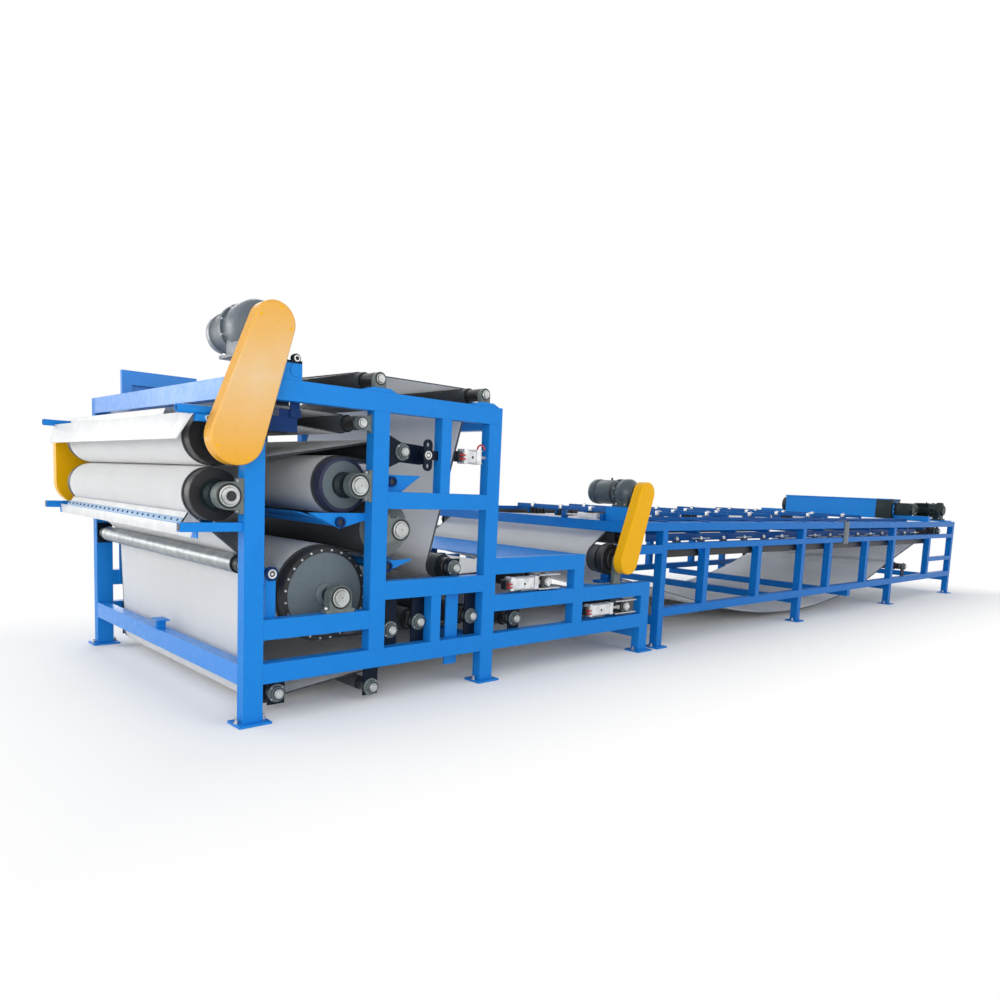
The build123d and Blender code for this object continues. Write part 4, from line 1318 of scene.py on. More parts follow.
@dataclass
class Cylinders:
    """The pneumatic cylinders: body, end caps, tie rods, fittings and rod ends."""

    places: tuple[Cylinder, ...] = (
        Cylinder(2.05, 2.35, 0.705, 2.415), Cylinder(2.99, 3.30, 0.428, 3.445),
        Cylinder(1.54, 1.70, 1.632, 1.76, looped=True),
    )
    cap: float = 0.040
    cap_half_y: float = 0.036
    cap_half_z: float = 0.052
    barrel_half_y: float = 0.030
    barrel_half_z: float = 0.044
    valve_long: float = 0.034
    valve_gap: float = 0.014
    tube: float = 0.0065
    body: Blank = field(default_factory=Blank)
    rods: Blank = field(default_factory=Blank)
    fittings: Blank = field(default_factory=Blank)
    tubes: Blank = field(default_factory=Blank)

    def build(self) -> None:
        """Build all six cylinders as a few shared pieces."""
        for place in self.places:
            for side in SIDES:
                self.one(place, side)
        self.body.finish("cylinder_bodies", ALUMINIUM, stands_for=("pneumatic_cylinders",))
        self.rods.finish("cylinder_rods", SHAFT_STEEL)
        self.fittings.finish("cylinder_fittings", SEAL_BLACK)
        self.tubes.finish("cylinder_elbows", TUBE_RED)

    def one(self, place: Cylinder, side: float) -> None:
        """One cylinder.

        Args:
            place: Where it is along the machine.
            side: -1 on the near side and 1 on the far side.
        """
        x_low, x_high, y, z = place.x_low, place.x_high, side * SIDE_Y, place.z
        for start in (x_low, x_high - self.cap):
            self.body.block((start, y - self.cap_half_y, z - self.cap_half_z),
                            (start + self.cap, y + self.cap_half_y, z + self.cap_half_z), 0.006)
        self.body.block((x_low + self.cap, y - self.barrel_half_y, z - self.barrel_half_z),
                        (x_high - self.cap, y + self.barrel_half_y, z + self.barrel_half_z), 0.012)
        for corner_y in (-0.028, 0.028):
            for corner_z in (-0.043, 0.043):
                at = (y + corner_y, z + corner_z)
                self.rods.rod((x_low + 0.01, *at), (x_high - 0.01, *at), 0.005, 12)
                self.rods.bolt((x_low, *at), TO_FRONT, 0.008)
                self.rods.bolt((x_high, *at), ALONG_X, 0.008)
        self.rods.rod((x_high, y, z), (place.rod_end, y, z), 0.0125, 24)
        self.fittings.ring((x_high, y, z), ALONG_X, 0.013, 0.022, 0.010, 0.002, 24)
        outer = y + side * self.barrel_half_y
        button = ((x_low + x_high) / 2, outer, z - 0.004)
        self.fittings.disc(button, (0.0, side, 0.0), 0.009, 0.004, 0.001, 20)
        valve = x_low - self.valve_gap
        self.fittings.block((valve - self.valve_long, y - self.barrel_half_y, z - 0.040),
                            (valve, y + self.barrel_half_y, z + 0.034), 0.005)
        self.fittings.rod((valve, y, z), (x_low, y, z), 0.018, 20)
        port_x, past = valve - self.valve_long / 2, outer + side * 0.012
        for port_z in (z - 0.020, z + 0.006):
            self.tubes.rod((port_x, outer, port_z), (port_x, past, port_z), 0.009, 16)
            self.tubes.bend((port_x, past, port_z), UP, (port_x + 0.018, past, port_z),
                            -side * 90.0, self.tube)
        if place.looped:
            start = (x_high - 0.030, y + side * 0.020, z + self.cap_half_z)
            self.tubes.bend(start, ALONG_Y, (start[0] + 0.034, *start[1:]), 180.0, self.tube)


@dataclass
class TensionGuides:
    """The guide bars that each tension roller's slide block runs between, and the blocks' front ends."""

    spots: tuple[tuple[float, float, float, float], ...] = (
        (2.36, 2.60, 0.705, 2.415), (3.34, 3.63, 0.428, 3.445),
    )
    bar_off: float = 0.048
    bar_thick: float = 0.012

    def build(self) -> None:
        """Build the bars, the clevises and the light nuts between them and the cylinders' rods."""
        bars, nuts, blocks = Blank(), Blank(), Blank()
        for x_low, x_high, z, rod_end in self.spots:
            for side in SIDES:
                y = side * SIDE_Y
                for above in SIDES:
                    low, high = side_span(above, self.bar_off, self.bar_off + self.bar_thick)
                    bars.block((x_low, y - 0.030, z + low), (x_high, y + 0.030, z + high), 0.002)
                blocks.block((rod_end - 0.030, y - 0.032, z - 0.040),
                             (rod_end - 0.002, y + 0.032, z + 0.040), 0.005)
                nuts.block((rod_end - 0.062, y - 0.018, z - 0.018),
                           (rod_end - 0.030, y + 0.018, z + 0.018), 0.003)
        bars.finish("tension_guides", ZINC)
        blocks.finish("tension_clevises", SEAL_BLACK)
        nuts.finish("tension_nuts", SHAFT_STEEL)


@dataclass(frozen=True)
class Cover:
    """The rounded outline of a drive's cover: two circles and the side it is on."""

    top: Point
    top_radius: float
    bottom: Point
    bottom_radius: float
    side: float

    def rim(self, inset: float, steps: int) -> list[Point]:
        """Points round the outline's two arcs.

        Args:
            inset: How far inside the outline they are.
            steps: How many steps each arc has.

        Returns:
            The points as (x, z).
        """
        run_x, run_z = self.bottom[0] - self.top[0], self.bottom[1] - self.top[1]
        heading = math.atan2(run_z, run_x)
        spread = math.acos((self.top_radius - self.bottom_radius) / math.hypot(run_x, run_z))
        points = []
        for (x, z), radius, start, sweep in (
            (self.top, self.top_radius - inset, heading + spread, 2 * math.pi - 2 * spread),
            (self.bottom, self.bottom_radius - inset, heading - spread, 2 * spread),
        ):
            for angle in evenly(start, start + sweep, steps + 1):
                points.append((x + radius * math.cos(angle), z + radius * math.sin(angle)))
        return points


@dataclass
class Guards:
    """Screws and lugs of the yellow covers."""

    covers: tuple[Cover, ...] = (
        Cover((0.065, 2.270), 0.120, (-0.145, 1.640), 0.152, -1.0),
        Cover((3.550, 1.425), 0.098, (3.350, 0.845), 0.115, -1.0),
        Cover((-0.145, 1.640), 0.175, (-0.145, 1.320), 0.175, 1.0),
    )
    lugs: tuple[Point, ...] = ((-0.060, 1.905), (3.480, 1.100))
    depth: float = 0.088
    gap: float = 0.016
    rim: float = 0.028

    def build(self) -> None:
        """Build the screws near the rim of each cover's face, and the lugs behind the two chain covers."""
        screws, lugs = Blank(), Blank()
        for cover in self.covers:
            y = cover.side * (OUTER_Y + self.gap + self.depth)
            for x, z in cover.rim(self.rim, 4)[::2]:
                screws.turned((
                    (0.0, 0.0), (0.0, 0.008), (0.002, 0.0075), (0.0035, 0.004), (0.004, 0.0),
                ), (x, y, z), (0.0, cover.side, 0.0), 16)
        screws.finish("guard_screws", GUARD_AMBER)
        for (x, z), tall in zip(self.lugs, (0.070, 0.060)):
            lugs.block((x, -OUTER_Y - self.gap, z), (x + 0.060, -OUTER_Y, z + tall), 0.002)
        lugs.finish("guard_lugs", FRAME_BLUE)


@dataclass
class Scrapers:
    """The white deflector and scraper sheets at the nip, with their arms, strips and bolts."""

    deflector: tuple[Point, Point] = ((-0.336, 1.758), (-0.390, 1.615))
    lip: tuple[Point, Point] = ((-0.325, 1.796), (-0.334, 1.756))
    apron: tuple[Point, Point] = ((-0.309, 1.150), (-0.309, 1.085))
    blade: tuple[Point, Point] = ((-0.268, 1.213), (-0.292, 1.175))
    clamp: tuple[Point, Point] = ((-0.292, 1.181), (-0.313, 1.148))
    arm_z: float = 1.772
    arm_radius: float = 0.024
    arm_bore: float = 0.019
    pin: Point = (-0.262, 1.731)

    def build(self) -> None:
        """Build the upper and lower sheets and the ends of their arms."""
        self.upper()
        self.lower()
        self.arm_ends()

    def sheet(self, blank: Blank, edges: tuple[Point, Point], half_wide: float, thickness: float,
              slant: float = 0.0) -> None:
        """A flat sheet across the machine, with its ends cut at a slant.

        Args:
            blank: Takes the sheet.
            edges: Its upper and lower edges as (x, z).
            half_wide: Half of its upper edge's length.
            thickness: Its thickness.
            slant: How much shorter its lower edge is at each end.
        """
        (top_x, top_z), (low_x, low_z) = edges
        lean = Vector((low_x - top_x, 0.0, low_z - top_z)).normalized()
        out = Vector((lean.z, 0.0, -lean.x)) * thickness / 2
        shorter = half_wide - slant
        corners = (Vector((top_x, -half_wide, top_z)), Vector((top_x, half_wide, top_z)),
                   Vector((low_x, shorter, low_z)), Vector((low_x, -shorter, low_z)))
        blank.slab([corner - out for corner in corners], 2 * out, 0.0015)

    def upper(self) -> None:
        """The deflector sheet over the upper nip roller, its lip and the round arms that hold it."""
        white, arms, clamps = Blank(), Blank(), Blank()
        self.sheet(white, self.deflector, 1.345, 0.010, 0.10)
        self.sheet(white, self.lip, 0.92, 0.004, 0.02)
        for side in SIDES:
            y = side * SIDE_Y
            arms.ring((-0.420, y, self.arm_z), ALONG_X, self.arm_bore, self.arm_radius, 0.360, 0.0015, 40)
            clamps.block((-0.322, y - 0.026, 1.712), (-0.236, y + 0.026, 1.750), 0.004)
        white.finish("deflector_sheet", BLADE_WHITE, stands_for=("upper_scraper",))
        arms.finish("deflector_arms", FRAME_BLUE)
        clamps.finish("deflector_clamps", FRAME_BLUE)

    def lower(self) -> None:
        """The scraper blade under the lower nip roller, its clamp strip and lower plate."""
        white, bolts, strip = Blank(), Blank(), Blank()
        self.sheet(white, self.apron, 1.30, 0.012, 0.05)
        self.sheet(white, self.blade, 1.10, 0.011)
        self.sheet(strip, self.clamp, 1.10, 0.018)
        for y in evenly(-1.06, 1.06, 24):
            bolts.bolt((-0.309, y, 1.168), (-0.84, 0.0, 0.54), 0.008)
        white.finish("scraper_blade", BLADE_WHITE)
        strip.finish("scraper_clamp", PALE_BLUE)
        bolts.finish("scraper_bolts", DEEP_BLUE)

    def arm_ends(self) -> None:
        """Black discs and plates in the arms' open ends, painted shade of their hollow insides, and the
        ringed pins on the upper ones.
        """
        dark, pins = Blank(), Blank()
        pin_x, pin_z = self.pin
        for side in SIDES:
            y = side * SIDE_Y
            # Painted shade: black discs and plates set in the arms' open ends for their dark hollow
            # insides.
            dark.disc((-0.395, y, self.arm_z), TO_FRONT, 0.0195, 0.002, 0.0004, 28)
            dark.block((-0.4115, y - 0.019, 1.128), (-0.4098, y + 0.019, 1.166))
            start, along = (pin_x, y + side * 0.026, pin_z), (0.0, side, 0.0)
            pins.ring(start, along, 0.008, 0.017, 0.012, 0.002, 28)
            dark.disc(start, along, 0.009, 0.006, 0.001, 20)
        dark.finish("arm_opening_shade", SEAL_BLACK)
        pins.finish("arm_pins", RING_STEEL)


@dataclass
class Doctors:
    """The doctors' pivot rings, the dark ends of the pivots and the blades' bolts."""

    pivots: tuple[tuple[Point, Point], ...] = (
        ((0.600, 1.170), (0.420, 1.222)), ((0.983, 1.436), (1.165, 1.470)),
        ((0.966, 0.878), (1.140, 0.908)), ((0.141, 0.868), (0.215, 0.740)),
    )
    radius: float = 0.028
    ringed_z: float = 0.868

    def build(self) -> None:
        """Build the pivots' ends and the bolts along the blades."""
        rings, bright, dark, bolts = Blank(), Blank(), Blank(), Blank()
        bore = 0.70 * self.radius
        for (x, z), (tip_x, tip_z) in self.pivots:
            for start, along in both_sides(x, INNER_Y, z):
                if z == self.ringed_z:
                    rings.ring(start, along, bore, self.radius + 0.014, 0.018, 0.002, 36)
                    bright.ring(start, along, 0.62 * self.radius, self.radius, 0.026, 0.002, 36)
                    bright.disc(start, along, 0.30 * self.radius, 0.024, 0.001, 24)
                else:
                    rings.ring(start, along, bore, self.radius + 0.006, 0.022, 0.002, 36)
                dark.disc(start, along, bore, 0.012, 0.001, 32)
            run = Vector((tip_x - x, 0.0, tip_z - z))
            middle = Vector((x, 0.0, z)) + 0.62 * run
            up = Vector((-run.z, 0.0, run.x)).normalized()
            if up.z < 0:
                up = -up
            for y in evenly(-1.04, 1.04, 12):
                bolts.bolt(middle + 0.004 * up + Vector((0.0, y, 0.0)), up, 0.008)
        rings.finish("doctor_pivots", DEEP_BLUE)
        bright.finish("drum_doctor_rings", RING_STEEL)
        dark.finish("doctor_pivot_ends", SEAL_BLACK)
        bolts.finish("doctor_bolts", ZINC)


@dataclass
class TableDress:
    """Fittings on the gravity table: plough shares, tracking gear, skirt seals, strap and brackets."""

    plough_x: tuple[float, ...] = (4.56, 5.48, 6.40, 7.90, 8.96)
    lanes: tuple[float, ...] = (-0.88, -0.44, 0.0, 0.44, 0.88)
    share_low: float = 1.134
    share_high: float = 1.196
    tracking_at: Point = (3.405, 1.205)
    tracking_span: Point = (-1.02, -0.86)
    rail_top: float = 1.172
    strap_x: tuple[float, float] = (7.86, 8.00)
    drive_at: Point = (3.350, 0.845)

    def build(self) -> None:
        """Build all the fittings."""
        self.plough_shares()
        self.tracking()
        self.skirt_seals()
        self.strap_plate()
        self.rail_fittings()
        self.drive_bracket()

    def plough_shares(self) -> None:
        """A dark curved share on each plough stem, turned the other way on every second bar."""
        shares, clamps = Blank(), Blank()
        for index, x in enumerate(self.plough_x):
            turn = 1.0 if index % 2 else -1.0
            for lane in self.lanes:
                for step in range(6):
                    angle = math.radians(14.0 * step)
                    start = Vector((x - 0.10 + 0.036 * step, lane + turn * 0.012 * step, 0.0))
                    end = start + 0.040 * Vector((math.cos(angle), turn * math.sin(angle), 0.0))
                    low, high = start.lerp(end, -0.1), start.lerp(end, 1.1)
                    (x_low, x_high), (y_low, y_high) = sorted((low.x, high.x)), sorted((low.y, high.y))
                    shares.block((x_low, y_low - 0.004, self.share_low),
                                 (x_high, y_high + 0.004, self.share_high), 0.002)
                clamps.block((x - 0.024, lane - 0.024, 1.205), (x + 0.024, lane + 0.024, 1.256), 0.004)
                clamps.bolt((x, lane, 1.256), UP, 0.010)
        shares.finish("plough_shares", SEAL_BLACK)
        clamps.finish("plough_clamps", ZINC)

    def tracking(self) -> None:
        """The small white cylinder that steers the table belt, on the end beam."""
        body, rod, mount = Blank(), Blank(), Blank()
        x, z = self.tracking_at
        near, far = self.tracking_span
        body.block((x - 0.026, near, z - 0.024), (x + 0.026, far, z + 0.024), 0.010)
        for low, high in ((near - 0.03, near), (far, far + 0.03)):
            body.block((x - 0.030, low, z - 0.028), (x + 0.030, high, z + 0.028), 0.004)
        for start, end in ((far + 0.03, far + 0.20), (near - 0.03, near - 0.10)):
            rod.rod((x, start, z), (x, end, z), 0.009, 20)
        for low in (-1.125, -0.665):
            mount.block((x - 0.034, low, self.rail_top), (x + 0.034, low + 0.030, z + 0.030), 0.004)
        body.finish("table_tracking_cylinder", ALUMINIUM)
        rod.finish("table_tracking_rod", SHAFT_STEEL)
        mount.finish("table_tracking_mounts", SHADED_TABLE_BLUE)

    def skirt_seals(self) -> None:
        """Rubber seals along the foot of both side skirts, and their clamp screws."""
        seals, screws = Blank(), Blank()
        for side in SIDES:
            y = side * 1.112
            seals.block((3.75, y - 0.003, 1.127), (10.69, y + 0.003, 1.170), 0.0015)
            for x in evenly(3.82, 10.628, 47):
                screws.bolt((x, side * 1.126, 1.152), (0.0, side, 0.0), 0.006)
        seals.finish("skirt_seals", SEAL_BLACK)
        screws.finish("skirt_screws", ZINC)

    def strap_plate(self) -> None:
        """The bare grey strap over the two upper rails, halfway along the table."""
        strap = Blank()
        (low, high), outer = self.strap_x, -OUTER_Y - 0.008
        strap.block((low, outer, 0.894), (high, -OUTER_Y, 1.184), 0.002)
        strap.block((low, outer, 1.176), (high, -OUTER_Y + 0.08, 1.184), 0.002)
        strap.finish("rail_strap", MOTOR_GREY)

    def rail_fittings(self) -> None:
        """Small bright clamps and guide rods between the two upper rails."""
        clamps, rods, dark = Blank(), Blank(), Blank()
        pad_low, pad_high, clamp_high = 0.976, 0.990, 1.020
        for index, x in enumerate(evenly(4.32, 10.62, 16)):
            for side in SIDES:
                y = side * (INNER_Y - 0.012)
                clamps.block((x - 0.020, y - 0.012, pad_high), (x + 0.020, y + 0.012, clamp_high), 0.003)
                clamps.bolt((x, y, clamp_high), UP, 0.010)
                dark.block((x - 0.060, y - 0.010, pad_low), (x + 0.060, y + 0.010, pad_high), 0.002)
                if index % 2:
                    rods.rod((x - 0.160, y, 1.006), (x + 0.160, y, 1.006), 0.006, 12)
        clamps.finish("rail_clamps", ZINC)
        rods.finish("rail_rods", SHAFT_STEEL)
        dark.finish("rail_pads", SEAL_BLACK)

    def drive_bracket(self) -> None:
        """The dark hoods round the drive roller's ends and the blue brackets under them."""
        housing, bracket = Blank(), Blank()
        x, z = self.drive_at
        plate_top = 0.664
        for side in SIDES:
            y_low, y_high = side_span(side, 1.20, 1.275)
            bracket.block((x - 0.15, y_low, 0.640), (x + 0.17, y_high, plate_top), 0.004)
            for foot in (x - 0.050, x + 0.026):
                bracket.block((foot, y_low, plate_top), (foot + 0.024, y_high, 0.712), 0.004)
            housing.ring((x, side * 1.205, z), (0.0, side, 0.0), 0.096, 0.134, 0.070, 0.006, 56)
        housing.finish("drive_roller_hoods", SEAL_BLACK)
        bracket.finish("drive_roller_brackets", SHADED_TABLE_BLUE)


@dataclass
class FeedEnd:
    """The feed box's rim, end covers, bolts and gear unit."""

    low: Place = (10.74, -0.86, 1.19)
    high: Place = (11.08, 0.86, 1.49)
    axis: Point = (10.91, 1.34)
    rim: float = 0.012
    unit_z: float = 1.345
    unit_y: float = -1.12

    def build(self) -> None:
        """Build the feed end's pieces."""
        self.box()
        self.gear_unit()

    def box(self) -> None:
        """The box's rim, its end covers and their bolts."""
        rim, bolts, covers = Blank(), Blank(), Blank()
        low, high = Vector(self.low), Vector(self.high)
        (x, z), top, lap = self.axis, high.z, self.rim
        for x_low, y_low, x_high, y_high in (
            (low.x, low.y, low.x, high.y), (high.x, low.y, high.x, high.y),
            (low.x, low.y, high.x, low.y), (low.x, high.y, high.x, high.y),
        ):
            rim.block((x_low - lap, y_low - lap, top - 0.010),
                      (x_high + lap, y_high + lap, top + 0.004), 0.002)
        for start, along in both_sides(x, high.y, z):
            rim.turned((
                (0.0, 0.05), (0.0, 0.125), (0.012, 0.125), (0.016, 0.12), (0.016, 0.05), (0.0, 0.05),
            ), start, along, 48)
            for bolt_x, bolt_z in around(x, z, 0.105, 8):
                bolts.bolt((bolt_x, start[1] + along[1] * 0.016, bolt_z), along, 0.010)
        for y in evenly(-0.80, 0.80, 12):
            for edge in (low.x - 0.004, high.x + 0.004):
                bolts.bolt((edge, y, top + 0.004), UP, 0.006)
        covers.block((low.x - 0.006, low.y - 0.004, low.z + 0.004),
                     (high.x + 0.006, low.y + 0.230, high.z + 0.006), 0.006)
        covers.turned((
            (0.0, 0.0), (0.0, 0.128), (0.070, 0.128), (0.100, 0.112), (0.118, 0.070), (0.118, 0.0),
        ), (x, high.y, z), ALONG_Y, 48)
        covers.finish("feed_box_end_covers", GEAR_GREEN)
        rim.finish("feed_box_rim", FRAME_BLUE)
        bolts.finish("feed_box_bolts", ZINC)

    def gear_unit(self) -> None:
        """The dark gear unit and finned motor at the feed box's near end."""
        case, motor, cowl = Blank(), Blank(), Blank()
        x, z, y_low, y_high = self.axis[0], self.unit_z, self.unit_y, self.low[1]
        case.block((x - 0.09, y_low + 0.02, 1.252), (x + 0.09, y_high, 1.440), 0.014)
        case.turned((
            (0.0, 0.0), (0.0, 0.086), (0.012, 0.086), (0.020, 0.070), (0.034, 0.064), (0.034, 0.0),
        ), (x, y_low + 0.020, z), TO_NEAR, 40)
        y = (y_low + y_high) / 2
        start = x + 0.09
        motor.turned((
            (0.0, 0.0), (0.0, 0.080), (0.016, 0.080), (0.020, 0.068), (0.215, 0.068), (0.222, 0.076),
            (0.235, 0.076), (0.235, 0.0),
        ), (start, y, z), ALONG_X, 40)
        motor.fins((start + 0.118, y, z), "X", 22, (0.190, 0.014, 0.003), (0.0, 0.072, 0.0))
        cowl.turned((
            (0.0, 0.0), (0.0, 0.080), (0.070, 0.080), (0.086, 0.072), (0.094, 0.050), (0.094, 0.0),
        ), (start + 0.235, y, z), ALONG_X, 40)
        case.finish("feed_gear_case", GEAR_GREEN, stands_for=("feed_gear_motor",))
        motor.finish("feed_motor_barrel", GEAR_GREEN)
        cowl.finish("feed_motor_cowl", GEAR_GREEN)


@dataclass
class SidePieces:
    """Covers over straps, painted shade over the aprons, the top rollers' seats and the small brackets of
    the press.
    """

    turn_x: float = 1.540
    strap_half: float = 0.0555
    slot: Point = (1.245, 1.621)
    top_rollers: tuple[float, ...] = (0.840, 1.730)
    rail_end: float = 1.875
    beam_top: float = 1.990
    stand_x: float = 0.244

    def build(self) -> None:
        """Build them all."""
        self.faces()
        self.slot_bearings()
        self.seats()
        self.beam_bracket()
        self.stand_bearing()

    def faces(self) -> None:
        """Blue faces on the turning roller's straps, and black ones on the aprons under the second rail as
        painted shade.
        """
        covers, apron_shade = Blank(), Blank()
        for side in SIDES:
            y_low, y_high = side_span(side, 1.2775, 1.2905)
            covers.block((self.turn_x - self.strap_half, y_low, 0.150),
                         (self.turn_x + self.strap_half, y_high, 0.780), 0.001)
            # Painted shade: black faces on the aprons for the shade under the second rail.
            y_low, y_high = side_span(side, 1.2835, 1.2905)
            apron_shade.block((4.046, y_low, 0.8355), (10.999, y_high, 0.915), 0.001)
        covers.finish("turn_strap_covers", FRAME_BLUE)
        apron_shade.finish("apron_shade_faces", SEAL_BLACK)

    def slot_bearings(self) -> None:
        """The ringed bearing at the far end of the crossover roller's link."""
        rings, dark = Blank(), Blank()
        for start, along in both_sides(self.slot[0], 1.3302, self.slot[1]):
            dark.disc(start, along, 0.036, 0.008, 0.002, 36)
            rings.ring(start, along, 0.019, 0.028, 0.013, 0.002, 36)
            rings.disc(start, along, 0.011, 0.011, 0.001, 24)
        rings.finish("slot_bearing_rings", RING_STEEL)
        dark.finish("slot_bearing_housings", SEAL_BLACK)

    def seats(self) -> None:
        """Sloped blue seats under the bearings of the two top rollers."""
        seats = Blank()
        low, high = self.beam_top, self.beam_top + 0.026
        for x in self.top_rollers:
            end = min(x + 0.120, self.rail_end)
            outline = ((x - 0.150, low), (x - 0.062, high), (x + 0.062, high), (end, low))
            for side in SIDES:
                for inner, outer in ((1.292, 1.300), (1.360, 1.368)):
                    seats.plate(outline, *side_span(side, inner, outer))
        seats.finish("top_bearing_seats", FRAME_BLUE)

    def beam_bracket(self) -> None:
        """The small upright bracket in the middle of the lower front beam."""
        bracket = Blank()
        bracket.block((-0.064, -0.030, 0.350), (0.000, -0.018, 0.410), 0.002)
        bracket.block((-0.070, -0.085, 0.408), (0.010, 0.055, 0.418), 0.003)
        bracket.block((-0.064, -0.090, 0.344), (0.004, 0.060, 0.352), 0.002)
        bracket.finish("beam_bracket", FRAME_BLUE)

    def stand_bearing(self) -> None:
        """The rounded lug and small pillow bearing behind the press's chain cover."""
        iron, rings, lug = Blank(), Blank(), Blank()
        x, z, y, out = self.stand_x, 2.112, -SIDE_Y, TO_NEAR
        iron.disc((x, y - 0.020, z), out, 0.027, 0.028, 0.004, 40)
        iron.block((x - 0.038, y - 0.044, z - 0.028), (x + 0.038, y - 0.012, z - 0.012), 0.003)
        rings.ring((x, y - 0.048, z), out, 0.011, 0.019, 0.005, 0.001, 32)
        lug.rod((x, -OUTER_Y - 0.004, 2.046), (x, -OUTER_Y + 0.001, 2.046), 0.038, 40)
        iron.finish("stand_bearing", NAVY)
        rings.finish("stand_bearing_ring", RING_STEEL)
        lug.finish("stand_lug", FRAME_BLUE)


def seen_rays(tree: bpy.types.NodeTree) -> bpy.types.NodeSocket:
    """1 for the rays in which the background shows: from the camera, off metal and through glass.

    Args:
        tree: The node tree of the floor or the world.

    Returns:
        The value's socket.
    """
    rays = tree.nodes.new("ShaderNodeLightPath")
    seen = rays.outputs["Is Camera Ray"]
    for kind in ("Is Glossy Ray", "Is Transmission Ray"):
        either = tree.nodes.new("ShaderNodeMath")
        either.operation = "MAXIMUM"
        tree.links.new(seen, either.inputs[0])
        tree.links.new(rays.outputs[kind], either.inputs[1])
        seen = either.outputs["Value"]
    return seen


@dataclass(frozen=True)
class Lamp:
    """A square soft lamp."""

    name: str
    place: Place
    aim: Place
    size: float
    power: float

    def build(self) -> None:
        """Hang the lamp and point it."""
        data = bpy.data.lights.new(self.name, "AREA")
        data.size = self.size
        data.energy = self.power
        lamp = bpy.data.objects.new(self.name, data)
        lamp.location = self.place
        lamp.rotation_euler = (Vector(self.aim) - Vector(self.place)).to_track_quat("-Z", "Y").to_euler()
        bpy.context.scene.collection.objects.link(lamp)


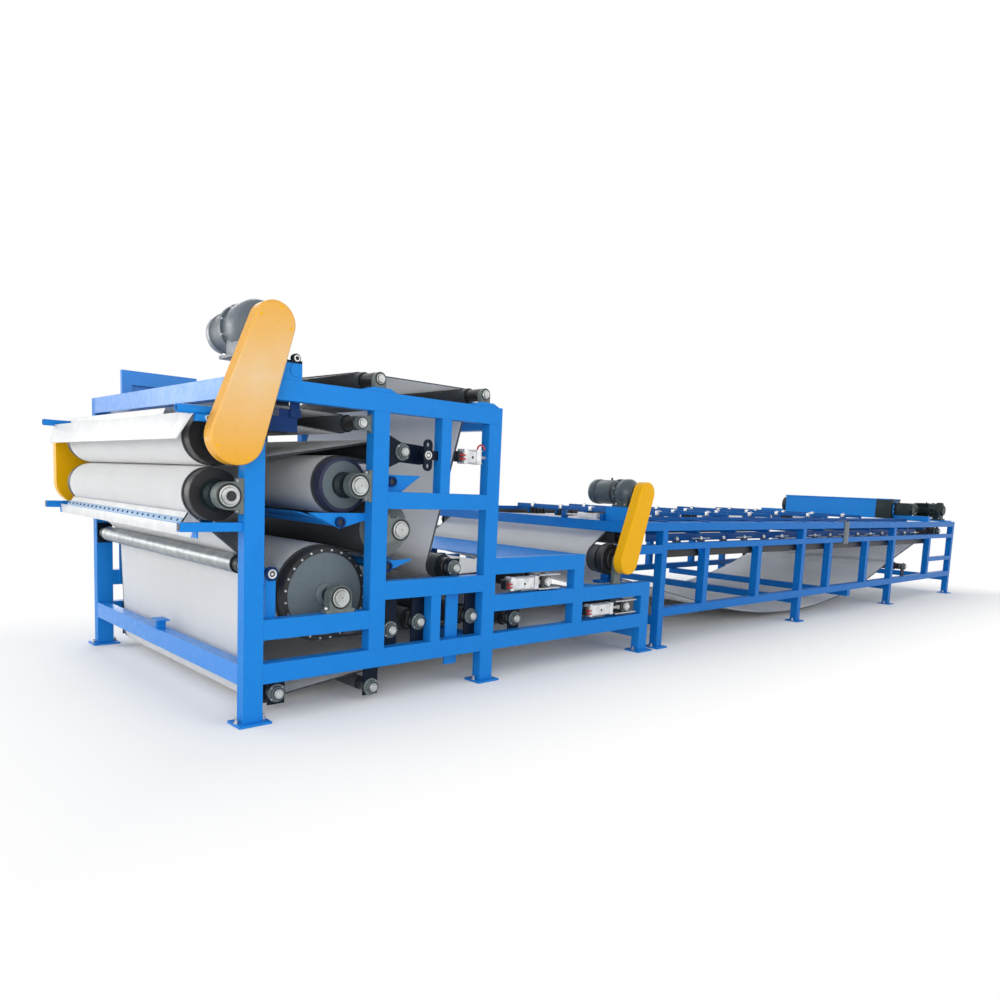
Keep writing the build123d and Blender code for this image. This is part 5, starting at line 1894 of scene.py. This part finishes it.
@dataclass
class Studio:
    """The floor, lights, world and camera."""

    camera_at: Place = (-2.0041, -5.4951, 1.4437)
    yaw: float = 46.41
    pitch: float = -6.33
    roll: float = 2.52
    lens: float = 27.95
    sensor: float = 36.0
    shift_y: float = 0.0713
    lamps: tuple[Lamp, ...] = (
        Lamp("key", (-3.4, -7.4, 2.2), (1.6, 0.0, 1.2), 4.0, 200.0),
        Lamp("front", (-10.0, -1.5, 4.0), (0.5, 0.0, 1.1), 5.0, 250.0),
        Lamp("glare", (-4.5, 7.0, 2.6), (0.5, 0.0, 1.2), 4.0, 170.0),
        Lamp("side", (7.0, -11.0, 6.0), (6.5, 0.0, 0.6), 8.0, 230.0),
        Lamp("back", (6.0, 11.0, 6.0), (4.0, 0.0, 0.8), 9.0, 420.0),
    )
    floor_at: Place = (6.0, 0.0, -0.001)
    floor_half: float = 400.0
    floor_tone: float = 0.92
    machine_half: Point = (6.0, 1.2)
    fade: Point = (-0.1, 1.7)
    surround: Colour = (0.94, 0.97, 1.0)
    surround_level: float = 0.68

    def build(self) -> None:
        """Build the whole studio."""
        self.camera()
        self.floor()
        for lamp in self.lamps:
            lamp.build()
        self.world()
        bpy.context.scene.view_settings.view_transform = "Standard"

    def camera(self) -> None:
        """The camera at the photograph's viewing angle."""
        yaw, pitch, roll = (math.radians(value) for value in (self.yaw, self.pitch, self.roll))
        ahead = Vector((math.cos(yaw) * math.cos(pitch), math.sin(yaw) * math.cos(pitch), math.sin(pitch)))
        right = Vector((math.sin(yaw), -math.cos(yaw), 0.0))
        up = right.cross(ahead)
        right_rolled = right * math.cos(roll) + up * math.sin(roll)
        up_rolled = up * math.cos(roll) - right * math.sin(roll)
        data = bpy.data.cameras.new("camera")
        data.lens = self.lens
        data.sensor_width = self.sensor
        data.shift_y = self.shift_y
        data.clip_end = 200.0
        camera = bpy.data.objects.new("camera", data)
        columns = Matrix((right_rolled, up_rolled, -ahead)).transposed().to_4x4()
        camera.matrix_world = Matrix.Translation(self.camera_at) @ columns
        bpy.context.scene.collection.objects.link(camera)
        bpy.context.scene.camera = camera

    def floor(self) -> None:
        """A plain pale floor that keeps the object's shadow and runs out to white."""
        blank = bmesh.new()
        bmesh.ops.create_grid(blank, x_segments=1, y_segments=1, size=self.floor_half)
        mesh = bpy.data.meshes.new("floor")
        blank.to_mesh(mesh)
        blank.free()
        sheet = NodeSheet("floor")
        sheet.shader.inputs["Base Color"].default_value = (*[self.floor_tone] * 3, 1.0)
        sheet.set(Roughness=0.9, Specular_IOR_Level=0.1)
        mesh.materials.append(sheet.material)
        floor = bpy.data.objects.new("floor", mesh)
        floor.location = self.floor_at
        bpy.context.scene.collection.objects.link(floor)
        past = [sheet.math("SUBTRACT", sheet.math("ABSOLUTE", sheet.axis(name)), half)
                for name, half in zip("XY", self.machine_half)]
        white = sheet.span(sheet.math("MAXIMUM", *past), *self.fade)
        glow = sheet.tree.nodes.new("ShaderNodeEmission")
        blend = sheet.tree.nodes.new("ShaderNodeMixShader")
        output = next(node for node in sheet.tree.nodes if node.type == "OUTPUT_MATERIAL")
        sheet.link(sheet.math("MULTIPLY", white, seen_rays(sheet.tree)), blend.inputs["Fac"])
        sheet.link(sheet.shader.outputs["BSDF"], blend.inputs[1])
        sheet.link(glow.outputs["Emission"], blend.inputs[2])
        sheet.link(blend.outputs["Shader"], output.inputs["Surface"])

    def world(self) -> None:
        """An even pale surround, white where the camera and reflections see it."""
        world = bpy.data.worlds.new("surround")
        bpy.context.scene.world = world
        world.use_nodes = True
        tree = world.node_tree
        background = next(node for node in tree.nodes if node.type == "BACKGROUND")
        output = next(node for node in tree.nodes if node.type == "OUTPUT_WORLD")
        white = tree.nodes.new("ShaderNodeBackground")
        for shader, colour, level in (
            (background, self.surround, self.surround_level), (white, (1.0, 1.0, 1.0), 1.0),
        ):
            shader.inputs["Color"].default_value = (*colour, 1.0)
            shader.inputs["Strength"].default_value = level
        blend = tree.nodes.new("ShaderNodeMixShader")
        tree.links.new(seen_rays(tree), blend.inputs["Fac"])
        tree.links.new(background.outputs["Background"], blend.inputs[1])
        tree.links.new(white.outputs["Background"], blend.inputs[2])
        tree.links.new(blend.outputs["Shader"], output.inputs["Surface"])


def dress_nodes() -> None:
    """Give every node of the frame its finish."""
    slots = {part["node"]: part["material_slot"] for part in frame["record"]["subparts"]}
    own = {name: finish for finish, names in OWN_FINISHES.items() for name in names}
    for name, node in frame["nodes"].items():
        finish = own.get(name) or NODE_FINISHES[slots[name]]
        node.data.materials.clear()
        node.data.materials.append(finish.material())


def main() -> None:
    """Set the studio, dress the frame's nodes and build the pieces in order."""
    Studio().build()
    dress_nodes()
    for unit in (
        Bearings(),
        Fasteners(),
        GearMotor("press_gear_motor", 0.065, 2.270, 2.085, -1.350, 0.150, 0.290, 0.122, 0.270,
                  case_finish=MOTOR_GREY, smooth=True),
        GearMotor("table_gear_motor", 3.550, 1.425, 1.300, -1.350, 0.120, 0.190, 0.112, 0.300,
                  case_finish=SLATE_GREY, body_finish=SLATE_GREY, cowl_finish=SLATE_GREY, smooth=True),
        GearMotor("tail_gear_motor", 11.800, 1.345, 1.192, -1.290, 0.120, 0.180, 0.110, 0.300,
                  body_finish=GEAR_GREEN, cowl_finish=GEAR_GREEN),
        Cylinders(),
        TensionGuides(),
        Guards(),
        Scrapers(),
        Doctors(),
        TableDress(),
        FeedEnd(),
        SidePieces(),
    ):
        unit.build()


if __name__ == "__main__":
    main()
